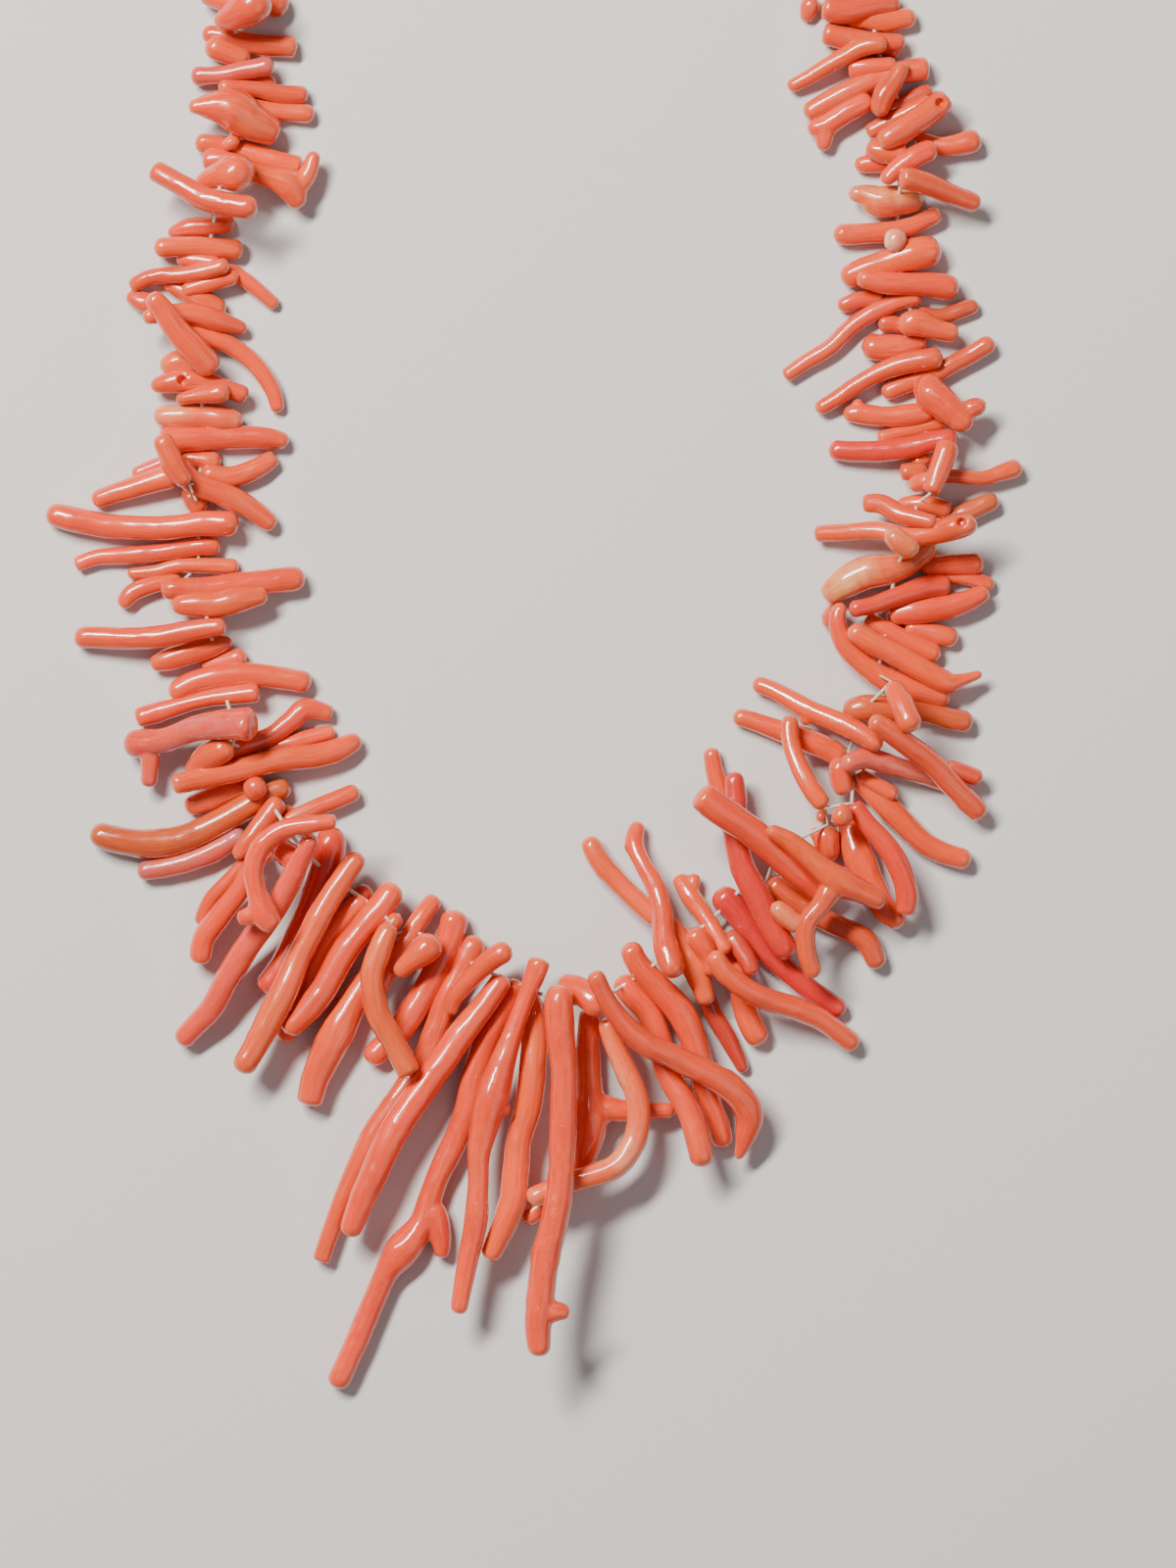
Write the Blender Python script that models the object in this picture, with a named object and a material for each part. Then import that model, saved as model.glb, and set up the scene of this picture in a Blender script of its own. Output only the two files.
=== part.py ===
import math
import random

import bmesh
import bpy
import numpy as np
from mathutils import Vector

# A strand necklace of polished red coral branches, laid flat in an open U and closed behind.
# Routes were read by eye on a stringing board: millimetres, x to the right, y up the strand.
MM = 0.001
BOARD_MIDDLE = (68.17, 135.92)    # board point that lies over the part's origin
THREAD_RADIUS = 0.25              # silk thread
HOLE_RADIUS = 0.75                # drilled holes, at their corners
BORE_OVERRUN = 0.34               # how far a bore runs on past the core, in steps of its line
BORE_RADIUS = 0.9                 # bores along the cores, at their corners
HOLE_SIDES = 3                    # faces round a drill
NOTCH_FULLNESS = 1.15             # a notch is this much wider, as its faces lie inside its corners
DRILL_REACH = 1.5                 # a drill is used where it comes this near a twig, in hole radii
CORNER_REACH = 1.32               # how far a square arm's corners stand out for its neighbours
ARM_FULLNESS = 1.3                # a square arm is this much wider, to fill what a round one fills
CORE_RADIUS = 2.6                 # packed drilled ends around the thread
CORE_HEIGHT = 3.2                 # height of the thread above the table
CORE_STEP = 8.0                   # spacing of the points on a core's line
CORE_CLEAR = 0.8                  # a tip this near the core or nearer makes no arm
NODE_GAP = 0.2                    # clear distance between two separate pieces
SPRIG_SWELL = 0.15                # sprig clusters are this much fatter than their twigs
SPRIG_CONTACT = -0.6              # twigs of one cluster nest into each other
TWIG_SIDES = 5                    # faces round a front twig or a core
ARM_SIDES = 4                     # faces round an arm or the thread
SAMPLE_STEP = 0.8                 # spacing of the points that feel for contact
CROSSING_STEPS = 8                # places tried on each stretch of a route for its hole
HOLE_FEEL = 0.01                  # half the stretch of strand that is cut out to find one of its points
ARM_STAGGER = 0.11                # small height steps between the arms' roots
ARM_LEVELS = 7                    # heights that the roots take in turn
TIP_MERGE = 2.8                   # tips closer than this share one arm
LONG_ARM = 12.0                   # arms longer than this keep their bend
ROUTE_SLACK = 0.75                # how far a twig may stray from its read route
WIDTH_WEIGHT = 0.5                # how much a stray width counts beside a stray place
STEEPEST = 0.4                    # steepest lean of a twig, rise over run
LEANS = 41                        # leans that are tried for each twig
FLATNESS = 0.5                    # how strongly a twig keeps level, in millimetres
BACK_PITCH = 2.8                  # twig spacing on the back of the neck
BACK_START = 3.0                  # first of them, past the arms' last twigs
BACK_TURN = 0.22                  # how far one may turn out of square to the thread
BACK_REACH = (6.5, 10.0)          # length past the hole
BACK_TAIL = (2.2, 4.0)            # length on the other side of it
BACK_BEND = 1.0                   # most that one bends sideways
BACK_WIDTH = (2.2, 2.9)
BACK_TAPER = (0.85, 0.8)          # width at the short and the long tip, as a share
BEND_PLACE = 0.45                 # where it bends, as a share of its reach
ARC_STEPS = 24                    # straight steps in the half circle behind
CORE_INSET = 1.3                  # each cluster's core stops this far short of its section
SECTIONS = {"left_sprigs": 4, "right_sprigs": 4, "back_sprigs": 3}
WELD = 1e-6                       # points closer than this are one, in metres
NUDGE = 2.9e-5                    # shift of a tool that fails, in metres
NUDGES = 14
VOLUME_SLACK = 0.001              # volume share that a sound step may be out by
MOST_CUT = 0.5                    # a cut that takes more than this share has failed
ON_TABLE = 1e-7                   # points this near the table count as on it, in metres
CORAL = (0.62, 0.11, 0.06)
CORAL_ROUGHNESS = 0.25
SILK = (0.78, 0.66, 0.54)
SILK_ROUGHNESS = 0.8

# Line of the thread, from the top of the left arm round the front to the top of the right arm.
LEFT_STRAND = [(30.5, 201.0), (29.5, 192.0), (29.8, 184.0), (28.0, 176.0), (26.5, 168.0), (26.0, 160.0),
               (25.8, 152.0), (25.5, 144.0), (25.0, 136.0), (25.2, 128.0), (26.5, 120.0), (28.5, 112.0),
               (31.0, 104.0), (34.0, 97.5)]
FRONT_STRAND = [(37.5, 92.5), (42.0, 88.5), (47.0, 84.5), (52.0, 81.5), (57.0, 79.0), (62.0, 76.3),
                (67.0, 74.0), (72.0, 72.6), (77.0, 73.0), (81.5, 75.5), (86.0, 79.2), (90.3, 82.4),
                (94.0, 86.0), (97.5, 89.8), (102.5, 93.8), (106.5, 98.3), (109.0, 103.2)]
RIGHT_STRAND = [(110.0, 109.0), (112.0, 114.0), (113.0, 120.0), (114.0, 126.0), (116.0, 132.0),
                (118.0, 139.0), (118.3, 146.0), (117.0, 152.0), (115.5, 158.0), (115.0, 164.0),
                (114.5, 170.0), (114.8, 176.0), (115.5, 182.0), (114.6, 188.0), (112.0, 194.0),
                (110.5, 201.0)]
BACK_CENTRE = (70.5, 201.0)
BACK_RADIUS = 40.0

# Each twig: layer in the pile, then one route per branch as (x, y, diameter) points.
LEFT_TWIGS = [
    (1, [[(25.5, 201.3, 2.4), (29.5, 200.0, 3.0), (33.0, 200.6, 2.6)]]),
    (0, [[(31.0, 201.5, 3.2), (36.6, 199.3, 3.4)]]),
    (2, [[(27.4, 197.0, 1.8), (29.5, 197.8, 3.4), (31.8, 198.8, 4.6), (34.4, 200.0, 4.2)]]),
    (1, [[(25.5, 196.3, 2.0), (28.5, 195.8, 2.6), (32.0, 194.8, 2.7), (37.8, 194.4, 2.6)]]),
    (2, [[(26.0, 194.8, 2.6), (28.5, 193.9, 3.0), (31.8, 193.0, 2.4)]]),
    (2, [[(24.1, 190.7, 2.6), (27.5, 190.8, 2.2), (31.0, 191.4, 2.3), (34.9, 192.0, 2.6)]]),
    (1, [[(27.6, 189.4, 2.0), (32.0, 189.0, 2.0), (36.0, 188.4, 2.3), (39.2, 188.4, 2.2)]]),
    (0, [[(30.0, 190.0, 1.8), (35.0, 189.9, 1.8)]]),
    (2, [[(24.1, 186.3, 1.2), (26.5, 186.4, 3.2), (29.5, 186.2, 5.2), (32.0, 184.6, 4.6),
         (35.4, 183.2, 3.0)]]),
    (1, [[(29.5, 187.3, 2.4), (34.0, 186.3, 2.4), (40.0, 185.8, 2.4)]]),
    (1, [[(24.6, 182.2, 2.6), (28.0, 181.9, 2.4), (31.0, 181.0, 2.6), (34.5, 180.0, 2.7),
         (38.4, 179.2, 2.4)]]),
    (2, [[(28.9, 182.8, 2.6), (30.0, 181.2, 2.4)]]),
    (1, [[(25.6, 180.0, 2.6), (28.0, 179.9, 2.8), (30.5, 179.3, 2.4)]]),
    (2, [[(25.0, 176.6, 1.4), (27.5, 177.3, 3.2), (30.0, 177.8, 4.8), (32.4, 177.4, 3.6)]]),
    (1, [[(30.5, 178.5, 2.4), (34.0, 177.6, 2.6), (37.0, 176.4, 3.8),
         (38.0, 173.5, 1.8)], [(37.5, 176.2, 3.2), (39.2, 178.0, 2.4), (40.1, 181.0, 1.6)]]),
    (2, [[(19.5, 178.4, 2.5), (23.0, 176.3, 2.8), (26.5, 174.4, 3.0), (30.0, 173.5, 2.9),
         (33.1, 173.1, 2.8)]]),
    (1, [[(21.1, 170.5, 1.2), (23.5, 171.3, 2.2), (26.0, 171.5, 2.4), (29.8, 171.9, 2.5)]]),
    (2, [[(19.4, 168.6, 2.6), (25.0, 168.8, 2.5), (30.9, 168.4, 2.6)]]),
    (1, [[(22.2, 167.4, 1.7), (24.5, 167.1, 2.2), (28.0, 166.5, 1.8)]]),
    (2, [[(16.3, 163.6, 1.8), (19.0, 164.9, 2.0), (23.0, 165.1, 2.0), (26.0, 165.6, 2.1),
         (29.2, 166.4, 2.0)]]),
    (2, [[(23.0, 163.2, 1.8), (26.0, 163.9, 2.0), (30.3, 165.1, 2.0)]]),
    (1, [[(20.6, 164.6, 1.8), (23.5, 162.9, 2.6), (26.0, 161.8, 2.8), (28.5, 160.4, 2.4)]]),
    (0, [[(15.9, 162.9, 1.4), (18.0, 161.8, 2.6), (21.0, 160.9, 2.4)]]),
    (0, [[(28.5, 166.2, 2.0), (31.5, 164.2, 1.9), (35.2, 161.2, 1.6)]]),
    (3, [[(19.2, 162.4, 2.2), (20.8, 160.6, 2.8), (22.6, 157.8, 3.2), (25.0, 155.2, 3.4),
         (27.4, 152.6, 3.0)]]),
    (2, [[(18.2, 159.4, 1.8), (23.0, 160.2, 2.4), (27.5, 159.3, 2.7), (31.3, 158.2, 1.4)]]),
    (1, [[(22.5, 160.0, 2.6), (26.0, 157.5, 2.6), (29.5, 156.0, 2.3), (32.5, 153.6, 2.2),
         (34.5, 150.5, 2.0), (35.3, 147.6, 1.8)]]),
    (1, [[(20.2, 153.2, 2.0), (22.5, 154.0, 3.0), (25.5, 153.4, 2.6)]]),
    (2, [[(19.0, 150.8, 1.4), (22.0, 151.5, 2.9), (25.0, 151.5, 2.8), (28.0, 150.8, 2.4),
         (31.6, 149.7, 2.2)]]),
    (3, [[(22.3, 149.1, 1.4), (25.0, 149.6, 2.0), (27.5, 149.9, 2.6), (29.3, 150.0, 2.4)]]),
    (2, [[(19.3, 147.2, 2.4), (22.5, 147.1, 3.2), (26.0, 147.0, 3.2), (28.5, 146.7, 3.2),
         (30.8, 146.4, 1.8)]]),
    (1, [[(20.0, 143.9, 3.4), (25.0, 144.3, 3.0), (30.0, 144.4, 2.9), (33.5, 144.4, 2.8),
         (36.7, 143.8, 2.0)]]),
    (2, [[(22.8, 141.9, 1.8), (25.5, 141.5, 2.2), (28.0, 141.5, 2.2)]]),
    (1, [[(25.3, 140.0, 2.2), (29.0, 139.3, 2.8), (32.5, 140.4, 2.6), (35.1, 142.0, 2.0)]]),
    (3, [[(20.6, 144.6, 2.4), (21.4, 142.5, 2.6), (22.3, 140.4, 2.8), (24.2, 138.1, 2.0)]]),
    (2, [[(22.5, 141.0, 2.8), (24.5, 138.6, 2.8), (28.0, 137.2, 2.9), (31.5, 135.6, 2.8),
         (34.8, 132.8, 2.2)]]),
    (1, [[(23.8, 138.3, 2.0), (24.5, 136.4, 2.8), (26.0, 134.9, 2.6)]]),
    (1, [[(11.4, 136.2, 2.2), (14.5, 137.3, 2.5), (18.0, 138.4, 2.9), (22.5, 139.6, 3.4)]]),
    (0, [[(16.5, 139.6, 1.6), (21.5, 141.6, 2.0)]]),
    (2, [[(5.6, 134.9, 2.6), (9.0, 133.9, 3.2), (14.0, 133.1, 3.0), (20.0, 132.7, 3.0), (26.0, 133.3, 3.1),
         (30.4, 133.2, 3.0)]]),
    (1, [[(9.2, 128.0, 1.8), (12.0, 129.0, 2.0), (16.0, 129.3, 2.2), (21.0, 129.8, 2.2), (25.0, 130.4, 2.3),
         (28.0, 130.5, 2.2)]]),
    (2, [[(15.9, 127.0, 1.4), (19.5, 127.2, 1.7), (22.5, 128.0, 1.9), (26.0, 128.0, 2.0),
         (30.3, 127.8, 1.9)]]),
    (1, [[(15.2, 122.6, 1.8), (16.6, 124.6, 2.4), (19.5, 125.6, 2.2), (23.0, 126.0, 2.0)]]),
    (1, [[(20.3, 124.9, 2.8), (25.0, 125.0, 2.8), (30.0, 125.4, 3.0), (34.5, 126.0, 3.1),
         (38.8, 126.3, 3.2)]]),
    (2, [[(21.7, 123.1, 2.0), (24.0, 122.9, 3.0), (27.5, 123.0, 3.4), (31.0, 123.8, 3.4),
         (34.2, 124.2, 2.0)]]),
    (2, [[(9.2, 118.8, 2.8), (14.0, 118.6, 2.8), (19.0, 118.7, 2.9), (24.0, 119.5, 2.6),
         (28.9, 120.2, 2.0)]]),
    (2, [[(18.9, 115.3, 1.6), (21.0, 115.9, 2.8), (24.5, 117.0, 3.0), (27.5, 117.8, 2.4),
         (29.5, 118.2, 1.2)]]),
    (2, [[(25.4, 115.2, 1.2), (28.0, 115.7, 1.9), (30.0, 116.2, 2.4), (31.3, 116.5, 2.4)]]),
    (1, [[(21.4, 111.3, 2.6), (24.5, 113.0, 3.0), (29.0, 113.9, 3.2), (34.0, 113.8, 3.0),
         (39.6, 112.9, 2.8)]]),
    (2, [[(17.0, 108.4, 2.4), (20.0, 109.2, 2.6), (24.0, 110.3, 2.2), (28.0, 111.2, 2.3),
         (33.1, 111.7, 2.6)]]),
    (2, [[(15.7, 105.3, 3.4), (18.0, 105.2, 3.6), (21.0, 105.6, 3.2), (25.0, 107.0, 3.2),
         (29.0, 107.6, 3.8), (32.8, 107.5, 4.2)], [(19.0, 104.6, 3.0), (19.0, 102.5, 2.4),
         (18.7, 99.5, 2.2)]]),
    (1, [[(28.2, 103.6, 2.6), (31.0, 104.9, 2.8), (34.5, 106.2, 2.4), (37.0, 108.0, 2.6),
         (39.0, 109.6, 2.6), (42.3, 108.9, 1.8)]]),
    (0, [[(33.0, 104.3, 2.0), (38.0, 105.6, 2.2), (42.6, 106.8, 1.6)]]),
    (2, [[(21.9, 99.8, 2.6), (25.0, 100.6, 2.7), (30.0, 101.6, 2.8), (35.0, 103.0, 3.0), (40.0, 103.6, 3.0),
         (43.5, 104.6, 2.8), (45.9, 105.9, 2.2)]]),
    (1, [[(23.8, 101.2, 1.6), (26.5, 103.4, 3.4), (29.8, 105.0, 3.0)]]),
    (1, [[(23.3, 96.9, 2.4), (26.0, 98.0, 2.8), (29.0, 99.2, 2.7), (33.5, 100.8, 2.4)]]),
    (2, [[(31.2, 98.7, 3.0), (33.8, 100.2, 2.8)]]),
    (1, [[(11.4, 94.2, 2.6), (14.0, 93.0, 3.4), (18.0, 92.4, 3.6), (22.0, 92.7, 3.6), (26.0, 94.2, 3.4),
         (30.0, 96.4, 3.3), (33.5, 98.5, 3.0), (36.9, 99.8, 2.6)]]),
    (1, [[(17.2, 88.8, 2.4), (21.0, 89.3, 2.6), (25.0, 90.4, 2.9), (28.5, 92.2, 2.6), (31.0, 94.0, 2.0)]]),
    (2, [[(35.7, 98.2, 2.4), (34.0, 95.8, 2.6), (32.0, 93.3, 2.4), (29.9, 90.5, 1.6)]]),
    (0, [[(33.0, 93.0, 2.2), (37.3, 97.0, 2.2)]]),
    (0, [[(36.0, 95.0, 2.0), (40.0, 96.9, 2.2), (45.7, 99.2, 2.4)]]),
]
RIGHT_TWIGS = [
    (3, [[(113.6, 113.0, 2.2), (114.7, 110.5, 2.9), (115.6, 108.3, 3.0), (116.3, 106.7, 2.8)]]),
    (0, [[(107.6, 109.3, 2.0), (110.0, 109.7, 3.4), (113.5, 109.5, 3.2), (118.0, 109.2, 2.8),
         (121.5, 108.3, 2.8), (124.4, 107.9, 2.6)]]),
    (2, [[(107.5, 123.2, 1.6), (106.9, 120.8, 2.2), (107.6, 118.2, 2.6), (109.5, 115.9, 2.8),
         (112.3, 113.9, 3.0), (115.5, 112.5, 3.2), (118.5, 111.6, 3.2), (121.5, 111.1, 3.0)]]),
    (2, [[(108.2, 119.9, 2.4), (111.0, 118.2, 2.8), (114.5, 116.4, 2.8), (118.0, 114.5, 2.8),
         (121.0, 113.0, 2.8), (123.0, 113.4, 1.6), (125.4, 114.2, 1.0)]]),
    (2, [[(110.5, 121.3, 1.8), (113.5, 119.6, 2.4), (117.0, 117.8, 2.6), (120.2, 116.4, 2.6)]]),
    (1, [[(115.6, 120.2, 1.8), (118.0, 119.6, 2.2), (120.5, 119.0, 2.6), (122.5, 118.6, 2.4)]]),
    (1, [[(113.4, 121.8, 2.6), (116.5, 122.1, 3.4), (120.0, 122.6, 3.2), (123.5, 123.4, 2.8),
         (126.3, 124.8, 2.0)]]),
    (0, [[(120.5, 126.5, 1.6), (124.0, 126.4, 2.0), (127.1, 125.3, 1.8)]]),
    (1, [[(117.5, 127.8, 2.4), (121.0, 128.0, 2.7), (125.8, 128.3, 2.8)]]),
    (2, [[(105.2, 123.9, 2.4), (107.5, 125.5, 3.8), (110.5, 127.0, 4.2), (113.5, 127.4, 3.8),
         (116.0, 128.2, 3.1), (118.2, 130.0, 2.8), (119.1, 131.2, 2.6)]]),
    (2, [[(108.3, 122.2, 2.2), (111.5, 122.9, 2.3), (115.0, 124.2, 2.5), (118.0, 125.2, 2.8),
         (121.4, 125.4, 2.6)]]),
    (1, [[(104.9, 121.6, 2.8), (106.2, 121.4, 3.2), (108.0, 121.6, 2.2)]]),
    (2, [[(104.1, 132.0, 2.2), (108.0, 132.3, 2.2), (112.0, 132.4, 2.2), (115.5, 131.7, 2.4),
         (119.0, 131.9, 2.8), (122.0, 132.8, 3.2), (124.4, 133.0, 2.0)]]),
    (0, [[(119.5, 133.0, 2.2), (123.0, 134.6, 2.6), (127.6, 136.6, 2.4)]]),
    (3, [[(112.9, 132.3, 2.2), (114.6, 130.8, 2.8), (117.0, 129.4, 2.4)]]),
    (2, [[(110.1, 135.8, 2.2), (112.5, 135.7, 2.4), (115.0, 134.3, 2.5), (119.2, 133.2, 1.6)]]),
    (1, [[(114.5, 135.7, 1.6), (117.5, 135.9, 2.4), (121.5, 135.0, 2.2)]]),
    (3, [[(121.2, 144.0, 2.6), (120.5, 141.8, 2.8), (119.5, 139.2, 2.6), (118.6, 137.0, 2.2)]]),
    (1, [[(119.0, 142.6, 2.2), (117.5, 141.3, 2.4), (116.4, 140.2, 1.8)]]),
    (1, [[(114.8, 139.8, 2.2), (116.3, 140.0, 2.3), (118.5, 140.3, 2.0)]]),
    (2, [[(116.0, 138.2, 1.8), (118.0, 138.6, 2.4), (119.5, 139.0, 2.0)]]),
    (1, [[(119.0, 139.3, 1.6), (122.0, 139.4, 1.7), (125.5, 139.2, 1.7), (128.0, 139.9, 2.2),
         (130.6, 140.7, 2.6)]]),
    (2, [[(105.8, 142.9, 2.4), (109.0, 142.6, 2.7), (113.0, 142.6, 2.8), (116.5, 143.1, 2.7),
         (119.5, 143.9, 2.6), (122.3, 144.4, 2.6)]]),
    (1, [[(112.0, 144.4, 1.6), (116.0, 145.2, 1.8), (119.0, 146.0, 2.0), (121.0, 146.2, 1.8)]]),
    (3, [[(119.8, 152.2, 2.4), (118.6, 150.3, 4.0), (120.2, 148.8, 4.0), (122.3, 147.0, 3.4),
         (123.8, 145.2, 2.6)], [(122.8, 147.3, 2.6), (124.5, 148.2, 2.4), (125.9, 147.8, 2.2)]]),
    (1, [[(107.6, 147.5, 1.8), (110.0, 147.4, 2.6), (113.5, 147.1, 2.6), (117.0, 147.4, 2.8),
         (119.5, 147.8, 2.0)], [(109.9, 148.2, 2.2), (109.0, 149.3, 1.6)]]),
    (1, [[(112.6, 150.0, 2.0), (115.0, 150.9, 2.3), (118.5, 152.2, 2.3), (121.5, 153.6, 2.4),
         (124.5, 155.3, 2.4), (127.0, 156.9, 2.4)]]),
    (2, [[(104.2, 147.8, 2.0), (106.5, 149.2, 2.1), (109.5, 151.2, 2.3), (112.5, 152.8, 2.4),
         (116.0, 153.9, 2.7), (120.4, 154.7, 2.8)]]),
    (1, [[(110.0, 156.0, 2.8), (113.0, 156.0, 3.3), (116.0, 156.2, 2.8), (118.5, 156.7, 1.6)]]),
    (1, [[(112.1, 159.1, 1.8), (114.0, 159.0, 2.0), (116.0, 158.6, 1.8)]]),
    (2, [[(114.6, 158.3, 2.2), (117.0, 159.0, 3.4), (119.5, 158.1, 2.6), (122.5, 157.5, 2.2)]]),
    (0, [[(117.0, 160.2, 2.0), (120.5, 160.0, 2.0), (123.0, 160.8, 2.1), (125.1, 161.5, 1.8)]]),
    (2, [[(100.1, 152.2, 1.8), (103.0, 154.0, 2.0), (106.0, 156.0, 2.1), (109.0, 158.8, 2.1),
         (112.0, 160.7, 2.2), (115.0, 162.0, 2.3), (117.8, 162.4, 2.2)]]),
    (1, [[(107.0, 161.1, 1.8), (109.5, 162.0, 2.1), (113.0, 162.4, 1.8)]]),
    (2, [[(109.3, 164.8, 2.0), (112.5, 164.1, 2.8), (116.0, 163.9, 2.8), (119.5, 163.8, 3.3),
         (122.5, 163.4, 3.0)]]),
    (1, [[(107.4, 164.6, 2.6), (110.0, 165.7, 3.2), (113.5, 166.8, 3.4), (117.0, 167.9, 4.0),
         (120.3, 168.4, 3.6)]]),
    (1, [[(106.4, 170.4, 2.6), (110.0, 170.5, 2.7), (113.5, 170.8, 2.6), (116.5, 171.6, 2.3),
         (120.3, 173.2, 2.3)]]),
    (2, [[(114.6, 171.0, 2.7), (114.2, 169.4, 2.7), (113.6, 168.0, 2.0)]]),
    (2, [[(108.3, 175.6, 1.6), (110.0, 175.4, 2.4), (112.3, 174.5, 4.0), (115.0, 174.8, 3.8),
         (118.0, 174.6, 2.4)]]),
    (3, [[(114.6, 177.2, 2.6), (117.5, 176.7, 2.8), (121.0, 175.4, 2.6), (125.1, 174.0, 2.4)]]),
    (2, [[(112.6, 176.7, 1.8), (114.5, 178.6, 2.3), (117.0, 180.2, 2.8), (119.6, 181.3, 2.6)]]),
    (1, [[(117.0, 182.9, 2.0), (120.0, 181.8, 2.5), (123.0, 182.0, 2.9), (125.4, 182.7, 3.0)]]),
    (1, [[(109.1, 179.3, 1.8), (111.5, 179.6, 2.6), (114.5, 180.0, 2.6)]]),
    (1, [[(110.6, 181.6, 2.2), (113.0, 180.8, 3.0), (116.0, 180.8, 2.4)]]),
    (2, [[(112.0, 181.8, 2.6), (114.5, 183.1, 3.2), (117.0, 184.8, 3.3), (119.2, 186.4, 3.2),
         (121.0, 187.8, 2.8)]]),
    (1, [[(110.7, 183.4, 1.8), (113.5, 184.7, 2.4), (117.0, 186.3, 2.4), (119.0, 187.6, 2.2)]]),
    (0, [[(113.0, 186.4, 1.8), (116.0, 187.6, 2.2), (119.3, 188.9, 2.2)]]),
    (1, [[(102.7, 185.7, 2.2), (106.0, 187.6, 2.6), (110.0, 189.4, 2.8), (114.0, 191.0, 2.8),
         (118.8, 191.8, 3.0)]]),
    (2, [[(103.0, 184.0, 1.8), (105.5, 184.5, 2.8), (108.5, 186.2, 2.8),
         (111.5, 187.8, 2.4)], [(105.6, 184.5, 2.8), (105.2, 182.6, 2.2), (105.2, 181.0, 1.6)]]),
    (3, [[(115.5, 192.3, 1.8), (114.2, 190.0, 2.4), (112.8, 188.0, 2.8), (112.0, 185.3, 2.0)]]),
    (1, [[(108.3, 191.8, 2.4), (110.5, 191.7, 2.6), (114.5, 192.2, 1.8)]]),
    (2, [[(100.6, 189.2, 1.8), (104.0, 191.0, 2.0), (107.5, 192.9, 2.2), (110.0, 194.2, 2.4),
         (113.3, 194.6, 2.2)]]),
    (1, [[(105.0, 196.3, 2.8), (108.0, 195.6, 2.8), (111.5, 195.1, 2.4), (115.7, 195.0, 2.0)]]),
    (0, [[(111.0, 194.4, 1.8), (115.0, 193.8, 1.8)]]),
    (1, [[(107.7, 197.6, 1.8), (110.0, 198.1, 2.6), (113.5, 197.8, 2.8), (117.1, 198.3, 2.4)]]),
    (2, [[(104.8, 199.4, 3.0), (108.0, 199.0, 3.2), (112.0, 199.7, 2.8), (115.0, 200.2, 2.4)]]),
    (1, [[(102.9, 197.7, 1.2), (103.3, 199.3, 2.4), (103.8, 201.0, 2.2)]]),
]
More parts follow.
